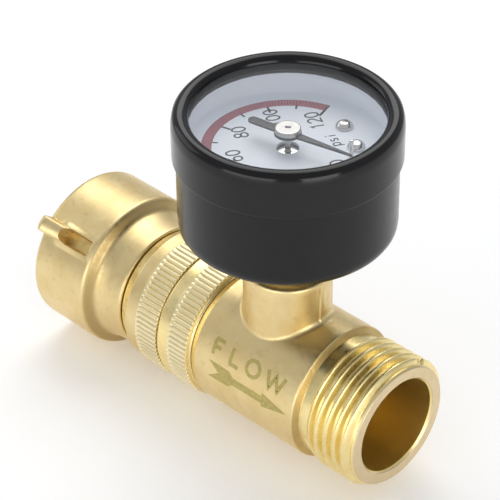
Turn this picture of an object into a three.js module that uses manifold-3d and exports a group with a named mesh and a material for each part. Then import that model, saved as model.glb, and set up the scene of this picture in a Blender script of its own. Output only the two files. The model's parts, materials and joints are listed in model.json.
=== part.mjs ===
// In-line water pressure regulator with a dial gauge.
// Millimetres, +Z up. Water flows along +X. The origin is the centre of the swivel nut's open end,
// on the flow axis, and the gauge stands on its boss along +Z.

import * as THREE from 'three';
import { mergeVertices } from 'three/addons/utils/BufferGeometryUtils.js';
import Module from 'manifold-3d';

const wasm = await Module();
wasm.setup();

// ---- driving dimensions ----

const FLOW = {
  nutLength: 21.85, // swivel nut, with its collar
  collarStart: 14.6, // where the nut steps down to its collar
  tailFront: 12.0, // inlet end of the tailpiece tube
  shoulderStart: 22.15,
  ringStart: 24.3,
  knurlOneStart: 27.45,
  knurlOneEnd: 33.2,
  housingFace: 33.5,
  knurlTwoStart: 36.3,
  knurlTwoEnd: 41.5,
  bodyStart: 42.0,
  barrelEnd: 69.1,
  neckStart: 70.0,
  threadStart: 72.0,
  outletEnd: 83.5,
};
const RADIUS = {
  nut: 16.0,
  collar: 13.25,
  tube: 10.45,
  shoulder: 13.3,
  ring: 13.9,
  knurl: 14.2,
  strip: 13.95,
  barrel: 13.66,
  neck: 12.36,
  outletBore: 9.57,
  boss: 8.45,
};
const HOSE = {
  pitch: 2.2087,
  crest: 13.3,
  root: 12.15,
  maleTurns: 5,
  innerCrest: 12.5,
  innerRoot: 13.5,
  femaleTurns: 4,
  femaleEnd: 12.2,
};
const LUG = { angle: 47.5, height: 19.3, width: 3.0, round: 1.3, wing: 5.6, end: 13.2 };
const POCKET = { width: 3.0, floor: 14.9, ridge: 0.7, ridgeTop: 16.5 };
const SNAP = { start: 15.9, end: 17.7, nut: 11.6, tail: 9.8, bore: 10.75, gap: 12 };
const SCREEN = { front: 10.8, back: 11.4, radius: 8.0, hole: 0.9, rings: [[6, 2.9], [12, 5.6]] };
const WASHER = { front: 9.6, back: 11.9, outer: 12.3, inner: 8.3 };
const TAIL = { inlet: 7.5, room: 8.8, roomStart: 20.0, socket: 11.0, socketStart: 27.5 };
const SEAT = { front: 20.3, back: 23.0, rim: 8.6, armOuter: 7.2, armInner: 4.4, armHalf: 14, disc: 4.2 };
const PISTON = { stemEnd: 27.1, headBack: 45.4, headFront: 49.9, stem: 4.0, bore: 2.6, head: 10.35 };
const HOUSING = {
  noseEnd: 28.0,
  nose: 10.8,
  noseTip: 9.4,
  partition: 34.5,
  stemHole: 4.2,
  sleeveEnd: 48.6,
  sleeve: 11.7,
  bore: 10.6,
};
const O_RINGS = {
  // start and end are the ends of the ring's groove, depth is the radius of its floor
  tailpiece: { start: 28.0, end: 29.9, radius: 10.25, section: 0.7 },
  stem: { start: 30.8, end: 32.6, depth: 5.9, radius: 4.95, section: 0.75 },
  housing: { start: 48.6, end: 50.3, radius: 11.3, section: 0.6 },
  head: { start: 46.5, end: 48.3, depth: 8.9, radius: 9.8, section: 0.7 },
};
const SPRING = { start: 34.8, end: 45.1, radius: 7.6, wire: 0.9, turns: 3.5 };
const BODY = {
  socket: 12.0,
  socketEnd: 50.3,
  bossFoot: 11.0,
  bossTop: 23.0,
  stemBore: 5.2,
  stemBoreFloor: 14.5,
  port: 2.0,
};

const GAUGE = {
  x: 55.3, // the gauge's own axis
  caseFloor: 32.3,
  caseRadius: 20.3,
  caseWall: 1.0,
  caseTop: 53.5,
  bezelFoot: 48.2,
  bezelRadius: 21.05,
  bezelTop: 57.2,
  lipRadius: 17.7,
  lipUnder: 55.95,
  skirtInner: 20.45,
};
const WINDOW = { bottom: 54.4, top: 55.8, radius: 19.2 };
const GASKET = { bottom: 53.6, top: 54.3, inner: 18.0, outer: 20.0 };
const DIAL = { radius: 18.9, bottom: 48.5, top: 49.1, hole: 2.05, rim: 53.4, rimInner: 18.55 };
const DIAL_SCREWS = { radius: 12.3, angles: [44, 77], head: 1.7, shank: 0.9, foot: 47.7 };
const POINTER = {
  bottom: 52.1,
  top: 52.5,
  angle: 10.5,
  tip: 13.6,
  tail: 9.4,
  tailWidth: 1.84,
  hub: 2.5,
  hubTop: 53.5,
};
const STOP = { radius: 11.7, angle: 29.5, pin: 0.4, top: 52.6 };
const GEARS = {
  module: 0.18,
  pinionTeeth: 12,
  wheelTeeth: 96,
  bottom: 42.0,
  top: 43.0,
  staff: 0.55,
  pivot: 0.7,
};
const SWING = 33.75; // the sector's swing over the dial's 270 degrees
const SECTOR = { pivotX: -9.72, arm: 3.0, tail: 180 - SWING / 2, firstTooth: -11, lastTooth: 1, hub: 1.6 };
const PLATES = { lower: 40.0, upper: 47.6, thickness: 0.7, left: -12.5, right: 4.8, half: 4.6 };
const TUBE = { radius: 15.5, width: 1.5, bottom: 34.5, height: 4.0, root: 105, tip: -143, wall: 0.35 };
// the gauge's stem, and the block inside the case with the arm that carries the tube
const STEM = { foot: 15, neck: 5.0, hex: 6.2, hexBottom: 23.4, hexTop: 31.2, channel: 1.2, channelTop: 36.5 };
const BLOCK = { length: 17, width: 8, bottom: 33.5, top: 39.8, armWidth: 4.6, sideBore: 0.8 };
const CASE_SCREWS = { places: [-7.2, 7.2], hole: 0.95, shank: 0.75, head: 1.3, top: 36.9 };
const LINK_X = SECTOR.pivotX - SECTOR.arm; // the link hangs straight down from the sector's tail
const LINK = { bottom: 43.3, top: 43.9, width: 1.5, hole: 0.9, pin: 0.45 };
const HAIRSPRING = { inner: 1.0, growth: 2.1, width: 0.25, turns: 3, bottom: 44.6, top: 45.1 };

const FINE = 40; // facets round the gauge
const ROUND = 28; // facets round the flow axis
const SMALL = 20; // facets round small turned pieces
const RAD = Math.PI / 180;

// ---- materials ----

function material(color, roughness, metalness) {
  return new THREE.MeshStandardMaterial({ color, roughness, metalness });
}

const brass = () => material(0xcfae6a, 0.36, 1.0);
const brightBrass = () => material(0xdcba72, 0.22, 1.0);
const blackPaint = () => material(0x0b0b0c, 0.2, 0.1);
const steel = () => material(0xb9bab8, 0.28, 1.0);
const springSteel = () => material(0x9a9c9e, 0.32, 1.0);
const rubber = () => material(0x141414, 0.75, 0.0);
const dialWhite = () => material(0xe9eef5, 0.5, 0.0);
const pointerBlack = () => material(0x303236, 0.45, 0.1);

function glass() {
  const clear = material(0xffffff, 0.03, 0.0);
  clear.transparent = true;
  clear.opacity = 0.2;
  return clear;
}

// ---- solids ----

function merged(geometry) {
  const plain = geometry.clone();
  plain.deleteAttribute('normal');
  plain.deleteAttribute('uv');
  return mergeVertices(plain, 1e-5);
}

function solid(geometry) {
  const shape = merged(geometry);
  const vertProperties = new Float32Array(shape.attributes.position.array);
  const triVerts = new Uint32Array(shape.index.array);
  return new wasm.Manifold(new wasm.Mesh({ numProp: 3, vertProperties, triVerts }));
}

function geometryOf(manifold) {
  const result = manifold.getMesh();
  const geometry = new THREE.BufferGeometry();
  geometry.setAttribute('position', new THREE.BufferAttribute(result.vertProperties, 3));
  geometry.setIndex(new THREE.BufferAttribute(result.triVerts, 1));
  return geometry;
}

function named(name, geometry, surface) {
  const mesh = new THREE.Mesh(geometry, surface);
  mesh.name = name;
  return mesh;
}

// A turned piece about Z. The profile is a list of [height, radius] and closes on itself
// unless it starts and ends on the axis.
function turned(profile, facets) {
  const points = profile.map(([height, radius]) => new THREE.Vector2(radius, height));
  if (THREE.ShapeUtils.isClockWise(points)) points.reverse();
  const onAxis = points.filter((point) => point.x === 0);
  if (onAxis.length === 0) points.push(points[0].clone());
  else while (points[0].x !== 0 || points[points.length - 1].x !== 0) points.push(points.shift());
  const geometry = new THREE.LatheGeometry(points, facets);
  return geometry.rotateX(Math.PI / 2);
}

// The same piece lying along X, with the profile as [x, radius].
function turnedAlongX(profile, facets) {
  return turned(profile, facets).rotateY(Math.PI / 2);
}

// A ring of round section about X, such as an O-ring.
function ringAlongX(x, radius, section, facets) {
  const sides = 6;
  const profile = [];
  for (let side = 0; side < sides; side += 1) {
    const turn = ((side + 0.5) / sides) * 2 * Math.PI;
    profile.push([x + section * Math.cos(turn), radius + section * Math.sin(turn)]);
  }
  return turnedAlongX(profile, facets);
}

function rod(radius, bottom, top, facets) {
  return turned([[bottom, 0], [bottom, radius], [top, radius], [top, 0]], facets);
}

function box(lengthX, lengthY, bottom, top) {
  return new THREE.BoxGeometry(lengthX, lengthY, top - bottom).translate(0, 0, (bottom + top) / 2);
}

function plate(outline, bottom, top, curveSegments = 6) {
  const options = { depth: top - bottom, bevelEnabled: false, curveSegments };
  return new THREE.ExtrudeGeometry(outline, options).translate(0, 0, bottom);
}

function hole(x, y, radius) {
  const path = new THREE.Path();
  path.absarc(x, y, radius, 0, 2 * Math.PI, true);
  return path;
}

function polygon(points) {
  return new THREE.Shape(points.map(([x, y]) => new THREE.Vector2(x, y)));
}

function polar(radius, degrees) {
  return [radius * Math.cos(degrees * RAD), radius * Math.sin(degrees * RAD)];
}

// Ridges of a screw thread as rings: each turn has a flank, a crest flat, a flank and a root flat.
function threadRings(start, turns, root, crest) {
  const rings = [];
  for (let turn = 0; turn < turns; turn += 1) {
    const x = start + turn * HOSE.pitch;
    rings.push([x + 0.15 * HOSE.pitch, root], [x + 0.45 * HOSE.pitch, crest]);
    rings.push([x + 0.6 * HOSE.pitch, crest], [x + 0.9 * HOSE.pitch, root]);
  }
  return rings;
}

// ---- inlet: swivel nut, snap ring, washer and screen ----

function nutShell() {
  const { nutLength, collarStart } = FLOW;
  const { innerRoot, femaleEnd } = HOSE;
  const inner = threadRings(1.0, HOSE.femaleTurns, HOSE.innerRoot, HOSE.innerCrest).reverse();
  return solid(turnedAlongX([
    [0, 14.2],
    [0, RADIUS.nut - 0.8],
    [0.3, RADIUS.nut - 0.25],
    [0.9, RADIUS.nut],
    [collarStart - 1.2, RADIUS.nut],
    [collarStart - 0.5, RADIUS.nut - 0.35],
    [collarStart + 1.0, RADIUS.collar + 0.7],
    [collarStart + 1.9, RADIUS.collar + 0.15],
    [collarStart + 3.5, RADIUS.collar],
    [nutLength - 0.4, RADIUS.collar - 0.35],
    [nutLength, RADIUS.collar - 0.8],
    [nutLength, SNAP.bore],
    [SNAP.end, SNAP.bore],
    [SNAP.end, SNAP.nut],
    [SNAP.start, SNAP.nut],
    [SNAP.start, SNAP.bore],
    [femaleEnd, SNAP.bore],
    [femaleEnd, innerRoot],
    ...inner,
    [0.9, innerRoot],
  ], ROUND));
}

// One lug stands on the nut's top line: a rounded wing by the open end, then a pocket between two ridges.
function lugWing() {
  const { height, round, wing, width } = LUG;
  const front = 0.5;
  const foot = POCKET.floor - 0.5;
  const outline = new THREE.Shape();
  outline.moveTo(front, foot);
  outline.lineTo(front, height - round);
  outline.absarc(front + round, height - round, round, Math.PI, Math.PI / 2, true);
  outline.lineTo(wing - 0.5, height);
  outline.lineTo(wing, height - 0.5);
  outline.lineTo(wing + 0.4, foot);
  return solid(plate(outline, -width / 2, width / 2, 4).rotateX(Math.PI / 2));
}

function lugRidge(side) {
  const length = LUG.end - LUG.wing + 1.0;
  const middle = side * (POCKET.width + POCKET.ridge) / 2;
  const ridge = box(length, POCKET.ridge, POCKET.floor - 0.4, POCKET.ridgeTop);
  return solid(ridge.translate(LUG.end - length / 2, middle, 0));
}

function lugPocket() {
  const length = LUG.end - 0.8 - LUG.wing;
  const pocket = box(length, POCKET.width, POCKET.floor, LUG.height);
  return solid(pocket.translate(LUG.wing + length / 2, 0, 0));
}

function swivelNut() {
  let nut = nutShell();
  for (const turn of [LUG.angle, LUG.angle + 180]) {
    const place = [turn, 0, 0];
    for (const lump of [lugWing(), lugRidge(1), lugRidge(-1)]) nut = nut.add(lump.rotate(place));
    nut = nut.subtract(lugPocket().rotate(place));
  }
  return named('inlet_swivel_nut', geometryOf(nut), brass());
}

// A flat wire ring with a gap, which holds the nut on the tailpiece.
function snapRing() {
  const outline = new THREE.Shape();
  const start = SNAP.gap * RAD;
  const end = (360 - SNAP.gap) * RAD;
  outline.absarc(0, 0, SNAP.nut - 0.25, start, end, false);
  outline.absarc(0, 0, SNAP.tail + 0.3, end, start, true);
  const ring = plate(outline, SNAP.start + 0.2, SNAP.end - 0.3, 12).rotateY(Math.PI / 2);
  return named('swivel_snap_ring', ring, springSteel());
}

function hoseWasher() {
  const { front, back, outer, inner } = WASHER;
  const washer = turnedAlongX([[front, inner], [front, outer], [back, outer], [back, inner]], ROUND);
  return named('hose_washer', washer, rubber());
}

// A thin disc with a ring pattern of holes, set inside the washer.
function filterScreen() {
  const disc = new THREE.Shape();
  disc.absarc(0, 0, SCREEN.radius, 0, 2 * Math.PI, false);
  disc.holes.push(hole(0, 0, SCREEN.hole));
  for (const [count, radius] of SCREEN.rings) {
    for (let index = 0; index < count; index += 1) {
      const [x, y] = polar(radius, (index * 360) / count);
      disc.holes.push(hole(x, y, SCREEN.hole));
    }
  }
  const screen = plate(disc, SCREEN.front, SCREEN.back, 3).rotateY(Math.PI / 2);
  return named('filter_screen', screen, steel());
}

// ---- tailpiece and valve seat ----

function tailpiece() {
  const { tailFront, shoulderStart, ringStart, knurlOneStart, knurlOneEnd } = FLOW;
  const piece = turnedAlongX([
    [tailFront, TAIL.inlet],
    [tailFront, RADIUS.tube],
    [SNAP.start, RADIUS.tube],
    [SNAP.start, SNAP.tail],
    [SNAP.end, SNAP.tail],
    [SNAP.end, RADIUS.tube],
    [shoulderStart, RADIUS.tube],
    [shoulderStart, 12.5],
    [shoulderStart + 0.3, 12.8],
    [ringStart - 0.1, RADIUS.shoulder],
    [ringStart, RADIUS.ring - 0.3],
    [ringStart + 0.3, RADIUS.ring],
    [knurlOneStart - 0.1, RADIUS.ring],
    [knurlOneStart, RADIUS.knurl],
    [knurlOneEnd - 0.3, RADIUS.knurl],
    [knurlOneEnd, RADIUS.knurl - 0.4],
    [knurlOneEnd, TAIL.socket],
    [TAIL.socketStart, TAIL.socket],
    [TAIL.socketStart, TAIL.room],
    [TAIL.roomStart, TAIL.room],
    [TAIL.roomStart, TAIL.inlet],
  ], ROUND);
  return named('inlet_tailpiece', piece, brass());
}

// A hub on three arms inside a ring: water passes between the arms.
function seatHolder() {
  const { front, back, rim, armOuter, armInner, armHalf } = SEAT;
  const outline = new THREE.Shape();
  outline.absarc(0, 0, rim, 0, 2 * Math.PI, false);
  for (let arm = 0; arm < 3; arm += 1) {
    const start = (arm * 120 + armHalf) * RAD;
    const end = ((arm + 1) * 120 - armHalf) * RAD;
    const gap = new THREE.Path();
    gap.absarc(0, 0, armOuter, start, end, false);
    gap.absarc(0, 0, armInner, end, start, true);
    outline.holes.push(gap);
  }
  const holder = plate(outline, front, back, 5).rotateY(Math.PI / 2);
  return named('seat_holder', holder, brightBrass());
}

function seatDisc() {
  const start = SEAT.back + 0.1;
  const end = start + 1.5;
  const disc = [[start, 0], [start, SEAT.disc], [end, SEAT.disc], [end, 0]];
  return named('valve_seat_disc', turnedAlongX(disc, SMALL), rubber());
}

// ---- spring housing, piston and spring ----

function springHousing() {
  const { housingFace, knurlTwoStart, knurlTwoEnd } = FLOW;
  const { noseEnd, nose, noseTip, partition, stemHole, sleeveEnd, sleeve, bore } = HOUSING;
  const { tailpiece: front, stem } = O_RINGS;
  const piece = turnedAlongX([
    [noseEnd, stemHole],
    [noseEnd, noseTip],
    [front.end, noseTip],
    [front.end, nose],
    [housingFace, nose],
    [housingFace, RADIUS.strip - 0.3],
    [housingFace + 0.3, RADIUS.strip],
    [knurlTwoStart - 0.1, RADIUS.strip],
    [knurlTwoStart, RADIUS.knurl],
    [knurlTwoEnd - 0.3, RADIUS.knurl],
    [knurlTwoEnd, RADIUS.knurl - 0.5],
    [knurlTwoEnd, sleeve],
    [sleeveEnd, sleeve],
    [sleeveEnd, bore],
    [partition, bore],
    [partition, stemHole],
    [stem.end, stemHole],
    [stem.end, stem.depth],
    [stem.start, stem.depth],
    [stem.start, stemHole],
  ], ROUND);
  return named('spring_housing', piece, brass());
}

// A hollow stem with a head: water runs through the stem to the outlet side of the head.
function piston() {
  const { stemEnd, headBack, headFront, stem, bore, head } = PISTON;
  const groove = O_RINGS.head;
  const piece = turnedAlongX([
    [stemEnd, bore],
    [stemEnd, bore + 0.5],
    [stemEnd + 0.9, stem],
    [headBack, stem],
    [headBack, head],
    [groove.start, head],
    [groove.start, groove.depth],
    [groove.end, groove.depth],
    [groove.end, head],
    [headFront, head],
    [headFront, 5.0],
    [headFront - 1.6, bore],
  ], ROUND);
  return named('piston', piece, brightBrass());
}

class Helix extends THREE.Curve {
  constructor(start, end, radius, turns) {
    super();
    Object.assign(this, { start, end, radius, turns });
  }

  getPoint(t, target = new THREE.Vector3()) {
    const turn = t * this.turns * 2 * Math.PI;
    const x = this.start + (this.end - this.start) * t;
    return target.set(x, this.radius * Math.cos(turn), this.radius * Math.sin(turn));
  }
}

function regulatingSpring() {
  const { start, end, radius, wire, turns } = SPRING;
  const section = new THREE.Shape();
  section.absarc(0, 0, wire, 0, 2 * Math.PI, false);
  const path = new Helix(start + wire, end - wire, radius, turns);
  const options = { steps: 48, curveSegments: 3, bevelEnabled: false, extrudePath: path };
  return named('regulating_spring', new THREE.ExtrudeGeometry(section, options), springSteel());
}

function oRings() {
  const ring = (name, { start, end, radius, section }) =>
    named(name, ringAlongX((start + end) / 2, radius, section, SMALL), rubber());
  return [
    ring('tailpiece_o_ring', O_RINGS.tailpiece),
    ring('piston_stem_o_ring', O_RINGS.stem),
    ring('housing_o_ring', O_RINGS.housing),
    ring('piston_head_o_ring', O_RINGS.head),
  ];
}

// ---- regulator body ----

function barrel() {
  const { bodyStart, barrelEnd, neckStart, threadStart, outletEnd } = FLOW;
  const thread = threadRings(threadStart, HOSE.maleTurns, HOSE.root, HOSE.crest);
  return solid(turnedAlongX([
    [bodyStart, BODY.socket],
    [bodyStart, RADIUS.barrel - 0.75],
    [bodyStart + 1.6, RADIUS.barrel],
    [barrelEnd, RADIUS.barrel],
    [neckStart, RADIUS.neck],
    [threadStart, RADIUS.neck],
    ...thread,
    [outletEnd - 0.45, HOSE.root + 0.3],
    [outletEnd, HOSE.root - 0.15],
    [outletEnd, RADIUS.outletBore + 0.4],
    [outletEnd - 0.4, RADIUS.outletBore],
    [BODY.socketEnd, RADIUS.outletBore],
    [BODY.socketEnd, BODY.socket],
  ], ROUND));
}

function regulatorBody() {
  const { bossFoot, bossTop, stemBore, stemBoreFloor, port, socket, socketEnd } = BODY;
  const mouth = FLOW.bodyStart - 1;
  const profile = [
    [bossFoot, 0],
    [bossFoot, RADIUS.boss],
    [bossTop - 0.6, RADIUS.boss],
    [bossTop, RADIUS.boss - 0.6],
    [bossTop, 0],
  ];
  const place = (geometry) => solid(geometry.translate(GAUGE.x, 0, 0));
  const threadRoom = [[mouth, 0], [mouth, socket], [socketEnd, socket], [socketEnd, 0]];
  const body = barrel()
    .add(place(turned(profile, ROUND)))
    .subtract(solid(turnedAlongX(threadRoom, ROUND)))
    .subtract(place(rod(stemBore, stemBoreFloor, bossTop + 1, 24)))
    .subtract(place(rod(port, 6, stemBoreFloor + 1, 12)));
  return named('regulator_body', geometryOf(body), brass());
}

// ---- gauge: socket, tube and case ----

// The socket's threaded stem, its wrench flats, and the block inside the case with its arm to the tube.
function gaugeStem() {
  const { foot, neck, hex, hexBottom, hexTop, channel, channelTop } = STEM;
  const { length, width, bottom, top, armWidth, sideBore } = BLOCK;
  const toTube = (geometry) => solid(geometry.rotateZ(TUBE.root * RAD));
  const armLength = TUBE.radius + 1.4;
  const armBottom = TUBE.bottom - 0.3;
  const slotLength = 3.6;
  const slotHeight = TUBE.height + 0.5;
  const arm = box(armLength, armWidth, armBottom, top - 1).translate(armLength / 2, 0, 0);
  const slot = box(TUBE.width + 0.7, slotLength, TUBE.bottom - 0.25, TUBE.bottom - 0.25 + slotHeight);
  slot.translate(TUBE.radius, -slotLength / 2, 0);
  const side = turnedAlongX([[0, 0], [0, sideBore], [TUBE.radius, sideBore], [TUBE.radius, 0]], 8);
  side.translate(0, 0, channelTop);
  let piece = solid(rod(neck, foot, bottom + 1, 24))
    .add(solid(rod(hex, hexBottom, hexTop, 6)))
    .add(solid(box(length, width, bottom, top)))
    .add(toTube(arm))
    .subtract(toTube(slot))
    .subtract(toTube(side))
    .subtract(solid(rod(channel, foot - 1, channelTop, 12)));
  for (const x of CASE_SCREWS.places) {
    const screwHole = rod(CASE_SCREWS.hole, bottom - 1, CASE_SCREWS.top + 0.3, 10);
    piece = piece.subtract(solid(screwHole.translate(x, 0, 0)));
  }
  return named('gauge_stem', geometryOf(piece), brass());
}

function arcBand(inner, outer, start, end) {
  const outline = new THREE.Shape();
  outline.absarc(0, 0, outer, start * RAD, end * RAD, end < start);
  outline.absarc(0, 0, inner, end * RAD, start * RAD, end > start);
  return outline;
}

// The flattened tube starts in the socket's slot and is open there; its tip is closed.
function bourdonTube() {
  const { radius, width, bottom, height, root, tip, wall } = TUBE;
  const start = root - 1.0;
  const outside = arcBand(radius - width / 2, radius + width / 2, tip, start);
  const inside = arcBand(radius - width / 2 + wall, radius + width / 2 - wall, tip + 3, start + 4);
  const shell = solid(plate(outside, bottom, bottom + height, 12));
  const hollow = solid(plate(inside, bottom + wall, bottom + height - wall, 12));
  return named('bourdon_tube', geometryOf(shell.subtract(hollow)), brightBrass());
}

// The cap on the tube's tip, with the post and pin that carry the link.
function tubeEndCap() {
  const { bottom, height } = TUBE;
  const linkY = -Math.sqrt(TUBE.radius ** 2 - LINK_X ** 2);
  const cap = solid(box(2.6, 2.4, bottom, LINK.bottom - 0.1).translate(LINK_X, linkY - 0.6, 0));
  const pin = solid(rod(LINK.pin, LINK.bottom - 0.5, LINK.top + 0.3, 10).translate(LINK_X, linkY, 0));
  const room = arcBand(TUBE.radius - 1.05, TUBE.radius + 1.05, TUBE.tip - 0.3, TUBE.tip + 20);
  const slot = solid(plate(room, bottom - 1, bottom + height + 0.3, 8));
  return named('tube_end_cap', geometryOf(cap.add(pin).subtract(slot)), brightBrass());
}

function gaugeCase() {
  const { caseFloor, caseRadius, caseWall, caseTop } = GAUGE;
  let piece = solid(turned([
    [caseFloor, STEM.neck + 0.2],
    [caseFloor, caseRadius - 2.4],
    [caseFloor + 0.7, caseRadius - 0.7],
    [caseFloor + 2.4, caseRadius],
    [caseTop, caseRadius],
    [caseTop, caseRadius - caseWall],
    [caseFloor + 2.4, caseRadius - caseWall],
    [caseFloor + 1.3, caseRadius - caseWall - 1.1],
    [caseFloor + caseWall, caseRadius - caseWall - 1.6],
    [caseFloor + caseWall, STEM.neck + 0.2],
  ], FINE));
  for (const x of CASE_SCREWS.places) {
    piece = piece.subtract(solid(rod(CASE_SCREWS.hole, caseFloor - 1, caseFloor + 2, 10).translate(x, 0, 0)));
  }
  return named('gauge_case', geometryOf(piece), blackPaint());
}

function caseScrews() {
  const { places, shank, head, top } = CASE_SCREWS;
  const seat = GAUGE.caseFloor - 0.1;
  const profile = [
    [seat - 0.7, 0],
    [seat - 0.7, 0.9],
    [seat - 0.4, head],
    [seat, head],
    [seat, shank],
    [top, shank],
    [top, 0],
  ];
  return places.map((x, index) =>
    named(`case_screw_${index + 1}`, turned(profile, 12).translate(x, 0, 0), steel()));
}

function bezel() {
  const { bezelFoot, bezelRadius, bezelTop, lipRadius, lipUnder, skirtInner } = GAUGE;
  const ring = turned([
    [bezelFoot, skirtInner],
    [bezelFoot, bezelRadius - 0.15],
    [bezelFoot + 0.2, bezelRadius],
    [bezelTop - 1.6, bezelRadius],
    [bezelTop - 0.5, bezelRadius - 0.4],
    [bezelTop, bezelRadius - 1.3],
    [bezelTop, lipRadius + 1.1],
    [bezelTop - 0.4, lipRadius + 0.3],
    [bezelTop - 0.9, lipRadius],
    [lipUnder, lipRadius],
    [lipUnder, skirtInner],
  ], FINE);
  return named('gauge_bezel', ring, blackPaint());
}

function windowAndGasket() {
  const { bottom: low, top: high, inner, outer } = GASKET;
  const gasket = turned([[low, inner], [low, outer], [high, outer], [high, inner]], FINE);
  const pane = rod(WINDOW.radius, WINDOW.bottom, WINDOW.top, FINE);
  return [named('window_gasket', gasket, rubber()), named('gauge_window', pane, glass())];
}

// ---- gauge: dial and pointer ----

// A flat pan with an upright rim that reaches up to the window's gasket.
function dial() {
  const face = new THREE.Shape();
  face.absarc(0, 0, DIAL.radius, 0, 2 * Math.PI, false);
  face.holes.push(hole(0, 0, DIAL.hole));
  for (const angle of DIAL_SCREWS.angles) {
    face.holes.push(hole(...polar(DIAL_SCREWS.radius, angle), DIAL_SCREWS.shank + 0.2));
  }
  face.holes.push(hole(...polar(STOP.radius, STOP.angle), STOP.pin + 0.1));
  const { radius, bottom, top, rim, rimInner } = DIAL;
  const floor = solid(plate(face, bottom, top, FINE / 4));
  const wall = solid(turned([[bottom, rimInner], [bottom, radius], [rim, radius], [rim, rimInner]], FINE));
  return named('dial', geometryOf(floor.add(wall)), dialWhite());
}

function dialScrews() {
  const { radius, angles, head, shank, foot } = DIAL_SCREWS;
  const seat = DIAL.top + 0.05;
  const profile = [
    [foot, 0],
    [foot, shank],
    [seat, shank],
    [seat, head],
    [seat + 0.45, head - 0.15],
    [seat + 0.95, head - 0.7],
    [seat + 1.15, 0],
  ];
  return angles.map((angle, index) => {
    const [x, y] = polar(radius, angle);
    return named(`dial_screw_${index + 1}`, turned(profile, 16).translate(x, y, 0), steel());
  });
}

function stopPin() {
  const [x, y] = polar(STOP.radius, STOP.angle);
  return named('stop_pin', rod(STOP.pin, DIAL.bottom, STOP.top, 10).translate(x, y, 0), steel());
}

// The pointer lies along +X here and is turned to its rest angle by its group.
function pointer() {
  const { bottom, top, tip, tail, tailWidth, hub } = POINTER;
  const half = tailWidth / 2;
  const join = Math.sqrt(hub ** 2 - half ** 2);
  const tipHalf = 0.18;
  const shoulder = 0.32; // where the tapering blade leaves the hub, in radians
  const outline = new THREE.Shape();
  outline.moveTo(-join, half);
  outline.lineTo(-tail + half, half);
  outline.absarc(-tail + half, 0, half, Math.PI / 2, 1.5 * Math.PI, false);
  outline.lineTo(-join, -half);
  outline.absarc(0, 0, hub, Math.PI + Math.asin(half / hub), 2 * Math.PI - shoulder, false);
  outline.lineTo(tip, -tipHalf);
  outline.lineTo(tip, tipHalf);
  outline.absarc(0, 0, hub, shoulder, Math.PI - Math.asin(half / hub), false);
  outline.holes.push(hole(0, 0, GEARS.pivot));
  return named('pointer', plate(outline, bottom, top, 8), pointerBlack());
}

function pointerHub() {
  const { top, hubTop, hub } = POINTER;
  const seat = top + 0.05;
  const rim = hub - 0.1;
  const profile = [[seat, 0], [seat, rim], [hubTop - 0.2, rim], [hubTop, rim - 0.25], [hubTop, 0]];
  return named('pointer_hub', turned(profile, 24), steel());
}

// ---- gauge: movement ----

function toothOutline(teeth, first, last, offset, height) {
  const pitchAngle = 360 / teeth;
  const pitchRadius = (GEARS.module * teeth) / 2;
  const root = pitchRadius - 1.25 * GEARS.module;
  const tip = pitchRadius + height * GEARS.module;
  const points = [];
  for (let tooth = first; tooth <= last; tooth += 1) {
    const middle = (tooth + offset) * pitchAngle;
    for (const [turn, radius] of [[-0.3, root], [-0.1, tip], [0.1, tip], [0.3, root]]) {
      points.push(polar(radius, middle + turn * pitchAngle));
    }
  }
  return points;
}

// The pinion stands on its staff; one of its teeth points along −X, into the sector's gap.
function pinionStaff() {
  const teeth = toothOutline(GEARS.pinionTeeth, 0, GEARS.pinionTeeth - 1, 0, 0.8);
  const pinion = solid(plate(polygon(teeth), GEARS.bottom - 0.3, GEARS.top + 0.3));
  const staff = solid(rod(GEARS.staff, PLATES.lower + 0.1, POINTER.top, 12));
  return named('pinion_staff', geometryOf(pinion.add(staff)), steel());
}

function sectorGear() {
  const { firstTooth, lastTooth, hub, arm, tail } = SECTOR;
  const teeth = toothOutline(GEARS.wheelTeeth, firstTooth, lastTooth, 0.5, 0.8);
  const outline = polygon([polar(hub, -75), ...teeth, polar(hub, 40)]);
  outline.absarc(0, 0, hub, 60 * RAD, 150 * RAD, false);
  outline.lineTo(...polar(arm + 0.6, tail - 14));
  outline.lineTo(...polar(arm + 0.6, tail + 14));
  outline.absarc(0, 0, hub, 195 * RAD, 285 * RAD, false);
  outline.holes.push(hole(0, 0, GEARS.pivot));
  const wheel = solid(plate(outline, GEARS.bottom, GEARS.top, 4));
  const [pinX, pinY] = polar(arm, tail);
  const pin = solid(rod(LINK.pin, GEARS.top - 0.5, LINK.top + 0.3, 10).translate(pinX, pinY, 0));
  return named('sector_gear', geometryOf(wheel.add(pin)).translate(SECTOR.pivotX, 0, 0), brightBrass());
}

function sectorArbor() {
  const arbor = rod(GEARS.staff, PLATES.lower + 0.1, PLATES.upper + PLATES.thickness - 0.1, 12);
  return named('sector_arbor', arbor.translate(SECTOR.pivotX, 0, 0), steel());
}

// Two eyes joined by a bar, from the tube's tip up to the sector's tail.
function connectingLink() {
  const half = LINK.width / 2;
  const low = -Math.sqrt(TUBE.radius ** 2 - LINK_X ** 2);
  const high = SECTOR.arm * Math.sin(SECTOR.tail * RAD);
  const outline = new THREE.Shape();
  outline.absarc(0, low, half, Math.PI, 2 * Math.PI, false);
  outline.absarc(0.1, high, half + 0.5, 0, Math.PI, false);
  outline.holes.push(hole(0, low, LINK.pin + 0.08), hole(0.13, high, LINK.hole));
  const link = plate(outline, LINK.bottom, LINK.top, 6).translate(LINK_X, 0, 0);
  return named('connecting_link', link, brightBrass());
}

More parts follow.
